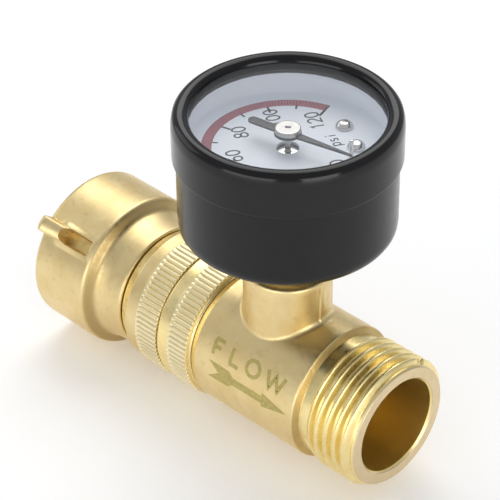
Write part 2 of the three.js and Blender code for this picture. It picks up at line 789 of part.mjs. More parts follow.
function movementPlates() {
  const { lower, upper, thickness, left, right, half } = PLATES;
  const pivots = () => [hole(0, 0, GEARS.pivot), hole(SECTOR.pivotX, 0, GEARS.pivot)];
  const under = polygon([[left, -half], [right, -half], [right, half], [left, half]]);
  under.holes.push(...pivots());
  const over = polygon([
    [left, -half],
    [right, -half],
    [right, 0],
    [11.4, 7.4],
    [10.2, 10.4],
    [3.4, 14.0],
    [0.6, 12.6],
    [-0.6, half],
    [left, half],
  ]);
  over.holes.push(...pivots());
  for (const angle of DIAL_SCREWS.angles) {
    over.holes.push(hole(...polar(DIAL_SCREWS.radius, angle), DIAL_SCREWS.shank + 0.1));
  }
  return [
    named('movement_lower_plate', plate(under, lower, lower + thickness), brightBrass()),
    named('movement_upper_plate', plate(over, upper, upper + thickness), steel()),
  ];
}

function movementPillars() {
  const bottom = PLATES.lower + PLATES.thickness + 0.05;
  const top = PLATES.upper - 0.05;
  return [[3.7, -3.4], [3.7, 3.4], [-11.4, 3.6]].map(([x, y], index) =>
    named(`movement_pillar_${index + 1}`, rod(0.8, bottom, top, 12).translate(x, y, 0), brightBrass()));
}

// A flat spiral that takes up the play in the gears.
function hairspring() {
  const { inner, growth, width, turns, bottom, top } = HAIRSPRING;
  const steps = 12 * turns;
  const edge = (offset) => Array.from({ length: steps + 1 }, (_, step) =>
    polar(inner + offset + (growth * step) / steps, (360 * turns * step) / steps));
  const outline = polygon([...edge(0), ...edge(width).reverse()]);
  return named('hairspring', plate(outline, bottom, top), springSteel());
}

// ---- assembly ----

const regulator = new THREE.Group();
regulator.add(swivelNut(), snapRing(), hoseWasher(), filterScreen());
regulator.add(tailpiece(), seatHolder(), seatDisc());
regulator.add(springHousing(), piston(), regulatingSpring(), ...oRings());
regulator.add(regulatorBody());

const gauge = new THREE.Group();
gauge.position.set(GAUGE.x, 0, 0);
gauge.add(gaugeStem(), bourdonTube(), tubeEndCap(), gaugeCase(), ...caseScrews());
gauge.add(bezel(), ...windowAndGasket(), dial(), ...dialScrews(), stopPin());
gauge.add(pinionStaff(), sectorGear(), sectorArbor(), connectingLink());
gauge.add(...movementPlates(), ...movementPillars(), hairspring());

const pointing = new THREE.Group();
pointing.rotation.z = POINTER.angle * RAD;
pointing.add(pointer(), pointerHub());
gauge.add(pointing);
regulator.add(gauge);

export default regulator;
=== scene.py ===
# Looks for the in-line water pressure regulator with a dial gauge.
# Lengths in this file are millimetres in the CAD frame; surface() turns them into metres.
import json
import math

import bmesh
import bpy
import numpy as np
from mathutils import Matrix, Vector


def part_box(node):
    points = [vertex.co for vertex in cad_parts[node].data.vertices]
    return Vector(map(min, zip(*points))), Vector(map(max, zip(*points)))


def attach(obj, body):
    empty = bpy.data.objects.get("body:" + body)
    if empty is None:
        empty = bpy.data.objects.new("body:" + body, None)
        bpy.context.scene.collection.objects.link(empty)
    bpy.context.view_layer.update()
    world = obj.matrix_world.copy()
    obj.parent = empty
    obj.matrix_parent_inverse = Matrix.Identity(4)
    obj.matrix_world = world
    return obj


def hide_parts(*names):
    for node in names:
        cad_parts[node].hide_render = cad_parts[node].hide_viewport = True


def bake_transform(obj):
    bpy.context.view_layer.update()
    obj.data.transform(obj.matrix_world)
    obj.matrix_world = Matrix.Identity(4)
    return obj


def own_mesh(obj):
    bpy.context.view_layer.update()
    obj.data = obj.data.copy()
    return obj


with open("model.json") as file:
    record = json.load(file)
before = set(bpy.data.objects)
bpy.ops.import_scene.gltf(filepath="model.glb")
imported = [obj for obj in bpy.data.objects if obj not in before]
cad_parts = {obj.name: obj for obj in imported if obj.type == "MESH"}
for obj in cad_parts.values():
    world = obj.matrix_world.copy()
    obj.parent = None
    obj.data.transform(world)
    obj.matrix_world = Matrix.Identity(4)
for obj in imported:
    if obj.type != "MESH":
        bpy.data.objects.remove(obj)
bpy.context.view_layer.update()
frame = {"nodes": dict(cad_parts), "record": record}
MM = 0.001
TAU = 2.0 * math.pi


def box(node):
    low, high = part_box(node)
    return np.array(low) / MM, np.array(high) / MM


def joint(name):
    return next(j for j in frame["record"]["behaviour"]["joints"] if j["name"] == name)


# ---- places and sizes taken from the frame ----

NUT_LOW, NUT_HIGH = box("inlet_swivel_nut")
TAIL_HIGH = box("inlet_tailpiece")[1]
HOUSING_LOW = box("spring_housing")[0]
BODY_HIGH = box("regulator_body")[1]
STEM_HIGH = box("gauge_stem")[1]
CASE_LOW, CASE_HIGH = box("gauge_case")
BEZEL_LOW, BEZEL_HIGH = box("gauge_bezel")
WINDOW_LOW, WINDOW_HIGH = box("gauge_window")
DIAL_LOW, DIAL_HIGH = box("dial")
DIAL_FACE = DIAL_LOW[2] + 0.6  # the printed face; the pan's rim stands above it
POINTER_LOW, POINTER_HIGH = box("pointer")
HUB_LOW, HUB_HIGH = box("pointer_hub")
PIN_LOW, PIN_HIGH = box("stop_pin")
GAUGE_X = joint("pointer_spin")["pos_m"][0] / MM
GAUGE_CENTRE = (GAUGE_X, 0, 0)
SLOT_OF = {part["node"]: part["material_slot"] for part in frame["record"]["subparts"]}

HOSE_PITCH = 25.4 / 11.5  # 11.5 threads to the inch
KNURL_TEETH = 84
FLOOR_GAP = 0.05  # between the nut and the floor


# ---- camera, light and floor ----

def add_camera():
    azimuth, elevation, roll = (math.radians(value) for value in (44.78, 36.43, -0.64))
    target = Vector((45.42, 0.0, 21.14)) * MM
    distance = 450.0 * MM
    away = Vector((
        math.sin(azimuth) * math.cos(elevation),
        -math.cos(azimuth) * math.cos(elevation),
        math.sin(elevation),
    ))
    right = Vector((0, 0, 1)).cross(away).normalized()
    up = away.cross(right)
    tilted_right = math.cos(roll) * right + math.sin(roll) * up
    tilted_up = -math.sin(roll) * right + math.cos(roll) * up
    data = bpy.data.cameras.new("camera")
    data.sensor_width = 36.0
    data.lens = 171.36
    camera = bpy.data.objects.new("camera", data)
    camera.matrix_world = Matrix.Translation(target + distance * away) @ Matrix((
        (tilted_right.x, tilted_up.x, away.x, 0),
        (tilted_right.y, tilted_up.y, away.y, 0),
        (tilted_right.z, tilted_up.z, away.z, 0),
        (0, 0, 0, 1),
    ))
    bpy.context.scene.collection.objects.link(camera)
    bpy.context.scene.camera = camera


def add_softbox(name, place, aim, size, power, height=None):
    data = bpy.data.lights.new(name, "AREA")
    data.shape = "RECTANGLE"
    data.size = size * MM
    data.size_y = (height or size) * MM
    data.energy = power
    light = bpy.data.objects.new(name, data)
    place = Vector(place) * MM
    direction = (Vector(aim) * MM - place).normalized()
    light.matrix_world = Matrix.Translation(place) @ direction.to_track_quat("-Z", "Y").to_matrix().to_4x4()
    bpy.context.scene.collection.objects.link(light)


def add_lights():
    world = bpy.data.worlds.new("studio")
    world.use_nodes = True
    background = world.node_tree.nodes["Background"].inputs
    background["Color"].default_value = (0.80, 0.81, 0.83, 1)
    background["Strength"].default_value = 0.58
    bpy.context.scene.world = world
    middle = (42, 0, 20)
    add_softbox("softbox_top", (-150, 210, 440), middle, 420, 1.25)
    add_softbox("softbox_left", (-420, -160, 240), middle, 320, 0.27, 300)
    add_softbox("softbox_right", (470, -130, 90), middle, 260, 0.6, 240)
    add_softbox("softbox_front", (120, -460, 90), middle, 420, 0.6, 200)
    bpy.context.scene.view_settings.view_transform = "Standard"


def add_floor():
    size = 3000.0
    z = NUT_LOW[2] - FLOOR_GAP
    corners = [(-size, -size, z), (size, -size, z), (size, size, z), (-size, size, z)]
    mesh = bpy.data.meshes.new("floor")
    mesh.from_pydata([[value * MM for value in corner] for corner in corners], [], [(0, 1, 2, 3)])
    floor = bpy.data.objects.new("floor", mesh)
    bpy.context.scene.collection.objects.link(floor)
    paper = Nodes("floor_paper").finish(
        Base_Color=(0.97, 0.97, 0.97),
        Roughness=0.8,
        Emission_Color=(1.0, 1.0, 1.0),
        Emission_Strength=0.14,
    )
    mesh.materials.append(paper)


# ---- materials ----

class Nodes:
    """A shorthand for building one material's node tree."""

    def __init__(self, name):
        self.material = bpy.data.materials.new(name)
        self.material.use_nodes = True
        self.tree = self.material.node_tree
        self.shader = self.tree.nodes["Principled BSDF"]
        coordinates = self.tree.nodes.new("ShaderNodeTexCoord")
        self.place = coordinates.outputs["Object"]

    def put(self, socket, value):
        """Links a socket to a node's output or sets its value. A colour gets its alpha here."""
        if isinstance(value, bpy.types.NodeSocket):
            self.tree.links.new(value, socket)
        else:
            socket.default_value = (*value, 1.0) if socket.type == "RGBA" else value

    def add(self, kind, inputs=None, **settings):
        node = self.tree.nodes.new(kind)
        for key, value in settings.items():
            setattr(node, key, value)
        for key, value in (inputs or {}).items():
            self.put(node.inputs[key], value)
        return node

    def noise(self, size, detail=3.0, place=None):
        """Noise with features of about `size` millimetres."""
        inputs = {"Vector": place or self.place, "Scale": 1.0 / (size * MM)}
        inputs.update(Detail=detail, Roughness=0.55)
        return self.add("ShaderNodeTexNoise", inputs).outputs["Fac"]

    def ramp(self, value, low, high, from_value=0.0, to_value=1.0):
        inputs = {"Value": value, "From Min": low, "From Max": high, "To Min": from_value, "To Max": to_value}
        return self.add("ShaderNodeMapRange", inputs).outputs["Result"]

    def mix(self, factor, first, second):
        node = self.add("ShaderNodeMix", data_type="RGBA")
        colours = [socket for socket in node.inputs if socket.type == "RGBA"]
        self.put(node.inputs["Factor"], factor)
        for socket, value in zip(colours, (first, second)):
            self.put(socket, value)
        return next(socket for socket in node.outputs if socket.type == "RGBA")

    def math(self, operation, first, second=0.0):
        return self.add("ShaderNodeMath", {0: first, 1: second}, operation=operation).outputs[0]

    def bump(self, height, depth, strength=1.0, normal=None):
        inputs = {"Height": height, "Distance": depth * MM, "Strength": strength}
        if normal is not None:
            inputs["Normal"] = normal
        return self.add("ShaderNodeBump", inputs).outputs["Normal"]

    def finish(self, **sockets):
        for key, value in sockets.items():
            self.put(self.shader.inputs[key.replace("_", " ")], value)
        return self.material


BRASS_LIGHT = (0.82, 0.66, 0.35)
BRASS_MIDDLE = (0.77, 0.595, 0.285)
BRASS_DARK = (0.64, 0.46, 0.19)


def forged_brass(name="forged_brass", light=BRASS_LIGHT, middle=BRASS_MIDDLE, dark=BRASS_DARK):
    """Bead-blasted forging: fine grain, soft mottling and a few small dents. A band of painted shade darkens
    it round the nut's shoulder, and the tailpiece inside it too."""
    nodes = Nodes(name)
    mottling = nodes.ramp(nodes.noise(5.0), 0.35, 0.65)
    stains = nodes.ramp(nodes.noise(1.6, 4.0), 0.58, 0.74, 0.0, 0.5)
    colour = nodes.mix(mottling, middle, light)
    colour = nodes.mix(stains, colour, dark)
    # Painted shade: a darker band across x round the nut's shoulder, standing in for the dark surroundings it
    # reflects.
    along = nodes.add("ShaderNodeSeparateXYZ", {"Vector": nodes.place}).outputs["X"]
    step = nodes.ramp(along, 13.9 * MM, 14.4 * MM)
    fade = nodes.ramp(along, 15.1 * MM, 16.0 * MM, 1.0, 0.0)
    shoulder = nodes.math("MULTIPLY", nodes.math("MULTIPLY", step, fade), 0.75)
    colour = nodes.mix(shoulder, colour, tuple(0.62 * value for value in dark))
    roughness = nodes.ramp(nodes.noise(0.9, 4.0), 0.3, 0.7, 0.34, 0.46)
    grain = nodes.bump(nodes.noise(0.30, 2.0), 0.024, 0.6)
    waves = nodes.bump(nodes.noise(2.2, 2.0), 0.05, 0.35, grain)
    spots = nodes.add("ShaderNodeTexVoronoi", {"Vector": nodes.place, "Scale": 1.0 / (6.5 * MM)})
    dents = nodes.bump(nodes.ramp(spots.outputs["Distance"], 0.03, 0.09), 0.06, 0.5, waves)
    return nodes.finish(Base_Color=colour, Metallic=1.0, Roughness=roughness, Normal=dents)


def turned_brass():
    """Lathe-turned brass: bright, with fine circular tool marks and light tarnish."""
    nodes = Nodes("turned_brass")
    tarnish = nodes.ramp(nodes.noise(3.0, 4.0), 0.4, 0.7)
    colour = nodes.mix(tarnish, (0.97, 0.81, 0.40), (0.91, 0.72, 0.32))
    roughness = nodes.ramp(nodes.noise(1.2, 3.0), 0.3, 0.7, 0.24, 0.36)
    stretch = nodes.add("ShaderNodeMapping", {"Vector": nodes.place, "Scale": (1.0, 0.04, 0.04)})
    marks = nodes.bump(nodes.noise(0.12, 2.0, place=stretch.outputs["Vector"]), 0.004, 0.5)
    return nodes.finish(Base_Color=colour, Metallic=1.0, Roughness=roughness, Normal=marks)


def two_tone(name, light, dark, tone, gloss, grain=None, **sockets):
    """A finish that wavers between two colours. tone is the (size, detail, low, high) of the noise that
    mixes them, gloss the (size, detail, smooth, rough) of the roughness, and grain the
    (size, detail, depth, strength) of the bump."""
    nodes = Nodes(name)
    colour = nodes.mix(nodes.ramp(nodes.noise(*tone[:2]), *tone[2:]), light, dark)
    roughness = nodes.ramp(nodes.noise(*gloss[:2]), 0.3, 0.7, *gloss[2:])
    if grain:
        sockets["Normal"] = nodes.bump(nodes.noise(*grain[:2]), *grain[2:])
    return nodes.finish(Base_Color=colour, Roughness=roughness, **sockets)


def bore_brass():
    """The drilled inside of the bore. Its colour, brighter and more orange than the forged brass, is painted
    light for the glow bouncing round inside the bore.
    """
    tone, gloss, grain = (6.0, 2.0, 0.3, 0.7), (1.2, 3.0, 0.30, 0.38), (0.2, 2.0, 0.003, 0.4)
    return two_tone("bore_brass", (1.0, 0.80, 0.32), (0.99, 0.77, 0.29), tone, gloss, grain, Metallic=1.0)


def etched_brass():
    """Laser marking: brass gone dull and olive."""
    tone, gloss, grain = (0.6, 4.0, 0.35, 0.65), (0.5, 3.0, 0.40, 0.52), (0.12, 2.0, 0.006, 0.6)
    return two_tone("etched_brass", (0.42, 0.34, 0.10), (0.52, 0.43, 0.15), tone, gloss, grain, Metallic=0.6)


def black_paint(name="black_paint", shine=0.30, low=0.16, high=0.27):
    """Gloss black enamel with a little orange peel."""
    light, dark = (0.004, 0.004, 0.0045), (0.006, 0.006, 0.007)
    tone, gloss, grain = (6.0, 3.0, 0.3, 0.7), (1.4, 4.0, low, high), (0.7, 2.0, 0.010, 0.25)
    return two_tone(name, light, dark, tone, gloss, grain, Specular_IOR_Level=shine)


def steel(name="plated_steel", low=0.14, high=0.26, light=(0.78, 0.77, 0.74), dark=(0.58, 0.57, 0.55)):
    tone, gloss, grain = (0.9, 4.0, 0.35, 0.7), (0.5, 3.0, low, high), (0.08, 2.0, 0.003, 0.5)
    return two_tone(name, light, dark, tone, gloss, grain, Metallic=1.0)


def black_rubber():
    tone, gloss, grain = (1.0, 4.0, 0.3, 0.7), (0.4, 3.0, 0.6, 0.8), (0.15, 3.0, 0.01, 0.6)
    return two_tone("black_rubber", (0.014, 0.014, 0.014), (0.034, 0.034, 0.033), tone, gloss, grain)


def dial_paint():
    tone, gloss, grain = (9.0, 2.0, 0.3, 0.7), (0.8, 3.0, 0.38, 0.5), (0.2, 2.0, 0.003, 0.5)
    return two_tone("dial_paint", (0.86, 0.91, 0.99), (0.89, 0.94, 1.0), tone, gloss, grain)


def ink(name, light, dark):
    return two_tone(name, light, dark, (0.35, 3.0, 0.3, 0.7), (0.3, 3.0, 0.42, 0.56))


def pointer_paint():
    tone, gloss, grain = (0.8, 3.0, 0.3, 0.7), (0.4, 3.0, 0.34, 0.48), (0.1, 2.0, 0.003, 0.5)
    return two_tone("pointer_paint", (0.045, 0.047, 0.052), (0.065, 0.068, 0.074), tone, gloss, grain)


def window_glass():
    nodes = Nodes("window_glass")
    smears = nodes.ramp(nodes.noise(7.0, 3.0), 0.4, 0.7, 0.02, 0.06)
    return nodes.finish(Base_Color=(0.95, 0.97, 1.0), Roughness=smears, Alpha=0.05, IOR=1.5)


# ---- surfaces ----

def surface(name, points, faces, material, sharp=32.0):
    mesh = bpy.data.meshes.new(name)
    mesh.from_pydata((np.asarray(points, dtype=float) * MM).tolist(), [], faces)
    mesh.validate()
    mesh.materials.append(material)
    mesh.shade_smooth()
    mesh.set_sharp_from_angle(angle=math.radians(sharp))
    piece = bpy.data.objects.new(name, mesh)
    bpy.context.scene.collection.objects.link(piece)
    return piece


def grid_faces(rows, columns, wrap_rows, wrap_columns, start=0):
    row = np.arange(rows if wrap_rows else rows - 1)
    column = np.arange(columns if wrap_columns else columns - 1)
    i, j = np.meshgrid(row, column, indexing="ij")
    down, over = (i + 1) % rows, (j + 1) % columns
    here, below = i * columns, down * columns
    corners = np.stack([here + j, here + over, below + over, below + j], axis=-1)
    return (corners.reshape(-1, 4) + start).tolist()


def outline(corners, step=0.6):
    """A closed profile. Each corner is (along, radius, fillet, tag, step): the tag and step belong to
    the stretch that starts there. Returns the points and one tag for each."""
    usual = (0.0, 0.0, 0.0, "", step)
    corners = [(*corner, *usual[len(corner):]) for corner in corners]
    places = np.array([corner[:2] for corner in corners], dtype=float)
    points, tags, ends = [], [], []
    for index, (_, _, fillet, _, _) in enumerate(corners):
        here = places[index]
        back, ahead = places[index - 1] - here, places[(index + 1) % len(corners)] - here
        reach = min(fillet, 0.45 * np.linalg.norm(back), 0.45 * np.linalg.norm(ahead))
        leave = here + back / np.linalg.norm(back) * reach
        meet = here + ahead / np.linalg.norm(ahead) * reach
        ends.append((leave, meet, reach))
    for index, (_, _, _, tag, size) in enumerate(corners):
        start, finish, reach = ends[index]
        here = places[index]
        added = [here]
        if reach > 0:
            curve = np.linspace(0, 1, 5)
            added = [(1 - t) ** 2 * start + 2 * t * (1 - t) * here + t ** 2 * finish for t in curve]
        following = ends[(index + 1) % len(corners)][0]
        pieces = max(1, math.ceil(np.linalg.norm(following - finish) / size))
        added += [finish + t * (following - finish) for t in np.linspace(0, 1, pieces + 1)[1:-1]]
        points += added
        tags += [tag] * len(added)
    return np.array(points), tags


def lathe(name, corners, material, axis="x", centre=(0, 0, 0), angles=180, shape=None, step=0.6, sharp=32.0):
    """A turned piece. shape(tag, along, radius, angle) may move a point of the profile."""
    profile, tags = outline(corners, step)
    if isinstance(angles, int):
        angles = np.arange(angles) * TAU / angles
    along = np.repeat(profile[:, :1], len(angles), axis=1)
    radius = np.repeat(profile[:, 1:], len(angles), axis=1)
    if shape is not None:
        for index, tag in enumerate(tags):
            if tag:
                along[index], radius[index] = shape(tag, along[index], radius[index], angles)
    return surface(name, *turned_points(along, radius, angles, axis, centre), material, sharp)


def around_x(x, radius, angles):
    """Points around X. The angle runs from +Z towards +Y."""
    x, radius, angles = np.broadcast_arrays(x, radius, angles)
    return np.stack([x, radius * np.sin(angles), radius * np.cos(angles)], axis=-1)


def polar(radius, angle):
    return np.stack([radius * np.cos(angle), radius * np.sin(angle)], axis=-1)


def turned_flat(points, angle):
    """Points of a flat outline on the gauge's axis, turned about it."""
    turn = np.array([[math.cos(angle), math.sin(angle)], [-math.sin(angle), math.cos(angle)]])
    return np.asarray(points) @ turn + np.array([GAUGE_X, 0.0])


def turned_points(along, radius, angles, axis, centre):
    if axis == "x":
        points = around_x(along, radius, angles)
    else:
        points = np.stack([radius * np.cos(angles), radius * np.sin(angles), along], axis=-1)
    faces = grid_faces(*along.shape, True, True)
    if (signed_area(along[:, 0], radius[:, 0]) < 0) == (axis == "x"):
        faces = [face[::-1] for face in faces]
    return points.reshape(-1, 3) + np.array(centre), faces


def signed_area(x, y):
    return 0.5 * float(np.sum(x * np.roll(y, -1) - np.roll(x, -1) * y))


def smooth_step(value, low, high):
    t = np.clip((value - low) / (high - low), 0.0, 1.0)
    return t * t * (3.0 - 2.0 * t)


def smooth_max(first, second, blend):
    h = np.clip(0.5 + 0.5 * (first - second) / blend, 0.0, 1.0)
    return second * (1 - h) + first * h + blend * h * (1 - h)


def thread_height(x, angle, depth, start, pitch=HOSE_PITCH, hand=1.0):
    """Height of a rounded thread above its root, at a place along and around the axis."""
    turn = ((x - start) / pitch - hand * angle / TAU) % 1.0
    flank = 1.0 - np.abs(2.0 * turn - 1.0)
    return depth * smooth_step(flank, 0.10, 0.86)


# ---- shells made of several sheets ----

def repaint(piece, material, chosen):
    """Gives another material to the faces whose centres, in millimetres, pass the test."""
    mesh = piece.data
    count = len(mesh.polygons)
    centres = np.zeros(3 * count)
    mesh.polygons.foreach_get("center", centres)
    index = np.zeros(count, dtype=np.int32)
    mesh.polygons.foreach_get("material_index", index)
    mesh.materials.append(material)
    x, y, z = (centres.reshape(-1, 3) / MM).T
    index[chosen(x, np.hypot(y, z))] = len(mesh.materials) - 1
    mesh.polygons.foreach_set("material_index", index)


class Shell:
    """Sheets of points that are welded into one closed mesh."""

    def __init__(self):
        self.points = []
        self.faces = []

    def sheet(self, points, wrap_rows=False, wrap_columns=False, flip=False):
        rows, columns = points.shape[:2]
        faces = grid_faces(rows, columns, wrap_rows, wrap_columns, len(self.points))
        self.points.extend(points.reshape(-1, 3).tolist())
        self.faces.extend([face[::-1] for face in faces] if flip else faces)

    def face(self, points, flip=False):
        start = len(self.points)
        self.points.extend(np.asarray(points).tolist())
        ring = list(range(start, len(self.points)))
        self.faces.append(ring[::-1] if flip else ring)

    def slab(self, top, bottom):
        """A closed plate between two sheets of the same shape."""
        self.sheet(top)
        self.sheet(bottom, flip=True)
        for edge in (lambda s: s[0], lambda s: s[-1][::-1], lambda s: s[::-1, 0], lambda s: s[:, -1]):
            self.sheet(np.stack([edge(bottom), edge(top)]))

    def bar(self, rows):
        """A closed bar: rings of points one after another, with its two ends capped."""
        self.sheet(rows, wrap_columns=True)
        self.face(rows[0])
        self.face(rows[-1], flip=True)

    def prism(self, outline_points, low, high, bevel=0.0):
        """A flat plate with the given outline, standing on z = low, with its upper edge bevelled."""
        outline_points = np.asarray(outline_points)
        back = np.roll(outline_points, 1, axis=0)
        ahead = np.roll(outline_points, -1, axis=0)
        along = (ahead - back) / np.linalg.norm(ahead - back, axis=1)[:, None]
        inward = np.stack([-along[:, 1], along[:, 0]], axis=1)
        def level(z, inset):
            flat = outline_points + inset * inward
            return np.column_stack([flat, np.full(len(flat), z)])
        rings = [level(low, 0.0), level(high - bevel, 0.0)]
        if bevel:
            rings += [level(high - 0.3 * bevel, 0.3 * bevel), level(high, bevel)]
        self.sheet(np.stack(rings), wrap_columns=True)
        self.face(rings[-1])
        self.face(rings[0], flip=True)

    def build(self, name, material, sharp=32.0):
        piece = surface(name, self.points, self.faces, material, sharp)
        shape = bmesh.new()
        shape.from_mesh(piece.data)
        bmesh.ops.remove_doubles(shape, verts=shape.verts, dist=1e-7)
        bmesh.ops.recalc_face_normals(shape, faces=shape.faces)
        shape.to_mesh(piece.data)
        shape.free()
        piece.data.shade_smooth()
        piece.data.set_sharp_from_angle(angle=math.radians(sharp))
        return piece


def show(piece, body, slot, *nodes):
    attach(piece, body)
    if nodes:
        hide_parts(*nodes)
    return piece


# ---- inlet ----

LUGS = (math.radians(-47.5), math.radians(132.5))
LUG_TOP = 19.3
NUT_RADIUS = 16.0
LUG_ARC = 13.0  # half of the finely divided arc round each lug, in degrees


def nut_angles():
    coarse = np.radians(np.arange(0.0, 360.0, 1.25))
    fine = np.radians(np.arange(-LUG_ARC, LUG_ARC + 0.01, 0.3))
    angles = list(coarse)
    for middle in LUGS:
        angles = [a for a in angles if abs(signed_turn(a - middle)) > math.radians(LUG_ARC + 0.4)]
        angles += [(middle + step) % TAU for step in fine]
    return np.array(sorted(angles))


def signed_turn(angle):
    return (angle + math.pi) % TAU - math.pi


def wing_height(x, s):
    """Radius of the lug's rounded bar, at x along the nut and s across the lug."""
    front, back, rounding = 0.25, 5.9, 1.2
    rise = np.maximum(front + rounding - x, 0.0) / rounding
    height = LUG_TOP - rounding * (1.0 - np.sqrt(np.clip(1.0 - rise ** 2, 0.0, 1.0)))
    height = height - 0.40 * np.maximum(x - 1.4, 0.0) - 2.6 * smooth_step(x, back - 0.2, back + 1.6)
    height = np.where(x < front, 0.0, height)
    crown = np.clip(np.abs(s) / 1.75, 0.0, 1.0)
    return height - 1.1 * (1.0 - np.sqrt(1.0 - crown ** 2)) - 3.2 * smooth_step(np.abs(s), 1.25, 2.1)


def nut_shape(tag, x, radius, angles):
    """Cuts the inside thread, or raises each lug with its pad and sinks the pocket behind its bar."""
    if tag == "thread":
        return x, radius - thread_height(x, angles, 1.0, 0.9, hand=-1.0) * smooth_step(x, 0.9, 2.2)
    for middle in LUGS:
        turn = signed_turn(angles - middle)
        s = NUT_RADIUS * turn
        near = np.abs(turn) < math.radians(LUG_ARC - 1.0)
        pad = (0.62 - 0.50 * smooth_step(x, 5.0, 13.4)) * smooth_step(x, 3.0, 5.4)
        pad = pad * (1.0 - smooth_step(np.abs(s), 1.5, 3.0)) * (1.0 - smooth_step(x, 12.9, 14.2))
        raised = smooth_max(radius + pad, wing_height(x, s), 0.7)
        reach = np.hypot(np.maximum(6.9 - x, 0.0), s)
        pocket = (1.0 - smooth_step(reach, 1.40, 1.62)) * (1.0 - smooth_step(x, 12.35, 12.60))
        raised = raised * (1.0 - pocket) + (14.75 + 0.06 * (x - 5.2) - 0.1 * s) * pocket
        radius = np.where(near, raised, radius)
    return x, radius


def swivel_nut(material, shaded):
    length = NUT_HIGH[0]
    corners = [
        (0.0, 13.9, 0.3, "", 0.4), (0.0, NUT_RADIUS, 0.9, "wall", 0.22),
        (14.1, NUT_RADIUS, 0.7, "", 0.2), (15.3, 13.75, 0.7, "", 0.2), (17.6, 13.25, 0.8, "", 0.4),
        (length, 13.0, 0.5, "", 0.2), (length, 10.75, 0.2, "", 0.4), (17.7, 10.75), (17.7, 11.6),
        (15.9, 11.6), (15.9, 10.75), (12.2, 10.75), (12.2, 13.5, 0.2, "thread", 0.2),
        (0.9, 13.5, 0.0),
    ]
    piece = lathe("swivel_nut_visual", corners, material, angles=nut_angles(), shape=nut_shape, sharp=48.0)
    # Painted shade: the lug pockets' floors get the darker shaded brass.
    repaint(piece, shaded, lambda x, r: (x > 5.1) & (x < 12.7) & (r > 14.2) & (r < 15.6))
    return show(piece, "swivel_nut", "forged_brass", "inlet_swivel_nut")


def washer(material):
    low, high = box("hose_washer")
    corners = [(low[0], 8.3, 0.2), (low[0], 12.3, 0.3), (high[0], 12.3, 0.3), (high[0], 8.3, 0.2)]
    piece = lathe("hose_washer_visual", corners, material, angles=128, step=0.4)
    return show(piece, "regulator", "rubber", "hose_washer")


def screen(material):
    """Woven wires inside a thin rim."""
    low, high = box("filter_screen")
    middle = 0.5 * (low[0] + high[0])
    shell = Shell()
    rim, pitch, wire, swing = 7.9, 0.95, 0.17, 0.11
    turns = np.arange(6) * TAU / 6.0
    for across in np.arange(-rim + 0.4, rim, pitch):
        half = math.sqrt(rim ** 2 - across ** 2)
        along = np.arange(-half, half + 0.01, 0.24)[:, None]
        wave = swing * np.sin(along / pitch * math.pi + across / pitch * math.pi)
        here, side = np.broadcast_arrays(along, across + wire * np.cos(turns))
        for direction in (1.0, -1.0):
            lift = middle + direction * wave + wire * np.sin(turns)
            flat = (here, side) if direction > 0 else (side, here)
            shell.bar(np.stack([lift, *flat], axis=-1))
    ring = [(low[0], 7.2, 0.1), (low[0], 8.0, 0.2), (high[0], 8.0, 0.2), (high[0], 7.2, 0.1)]
    profile, _ = outline(ring, 0.3)
    points = around_x(profile[:, :1], profile[:, 1:], np.arange(96) * TAU / 96)
    shell.sheet(points, wrap_rows=True, wrap_columns=True)
    return show(shell.build("filter_screen_visual", material, 60.0), "regulator", "steel", "filter_screen")


# ---- tailpiece and spring housing ----

def knurled(tag, x, radius, angles):
    """Straight knurling: narrow crests with rounded valleys between them."""
    turn = (angles * KNURL_TEETH / TAU) % 1.0
    valley = smooth_step(1.0 - np.abs(2.0 * turn - 1.0), 0.38, 1.0)
    wander = 0.03 * np.sin(5.0 * angles) + 0.02 * np.sin(13.0 * angles + 1.0)
    if tag == "knurl_one":
        depth = 0.34 * smooth_step(x, TAIL_HIGH[0] - 6.0 + 3.0 * wander, TAIL_HIGH[0] - 4.6)
    else:
        depth = 0.30 * smooth_step(x, HOUSING_LOW[0] + 8.2 + 3.0 * wander, HOUSING_LOW[0] + 9.2)
    return x, radius - depth * valley * (1.0 + 2.0 * wander)


def inlet_tailpiece(material, turned, satin):
    end = TAIL_HIGH[0]
    corners = [
        (12.0, 7.5, 0.2), (12.0, 10.45, 0.3), (15.9, 10.45), (15.9, 9.8), (17.7, 9.8),
        (17.7, 10.45), (22.15, 10.45, 0.1), (22.15, 12.55, 0.12, "", 0.2),
        (24.15, 13.3, 0.1, "", 0.2), (24.3, 13.62, 0.1, "", 0.1), (24.5, 13.9, 0.15, "", 0.4),
        (27.3, 13.9, 0.08, "", 0.2), (27.5, 14.2, 0.12, "knurl_one", 0.22),
        (end, 14.2, 0.12, "knurl_one", 0.2), (end, 13.5, 0.05), (end + 0.24, 13.45, 0.05),
        (end + 0.24, 11.0), (27.5, 11.0), (27.5, 8.8), (20.0, 8.8), (20.0, 7.5),
    ]
    piece = lathe("inlet_tailpiece_visual", corners, material, angles=KNURL_TEETH * 8, shape=knurled)
    repaint(piece, turned, lambda x, r: (x > 22.0) & (r > 11.2) & (x < 24.7))
    repaint(piece, satin, lambda x, r: (x > 27.4) & (r > 11.2))
    return show(piece, "regulator", "forged_brass", "inlet_tailpiece")


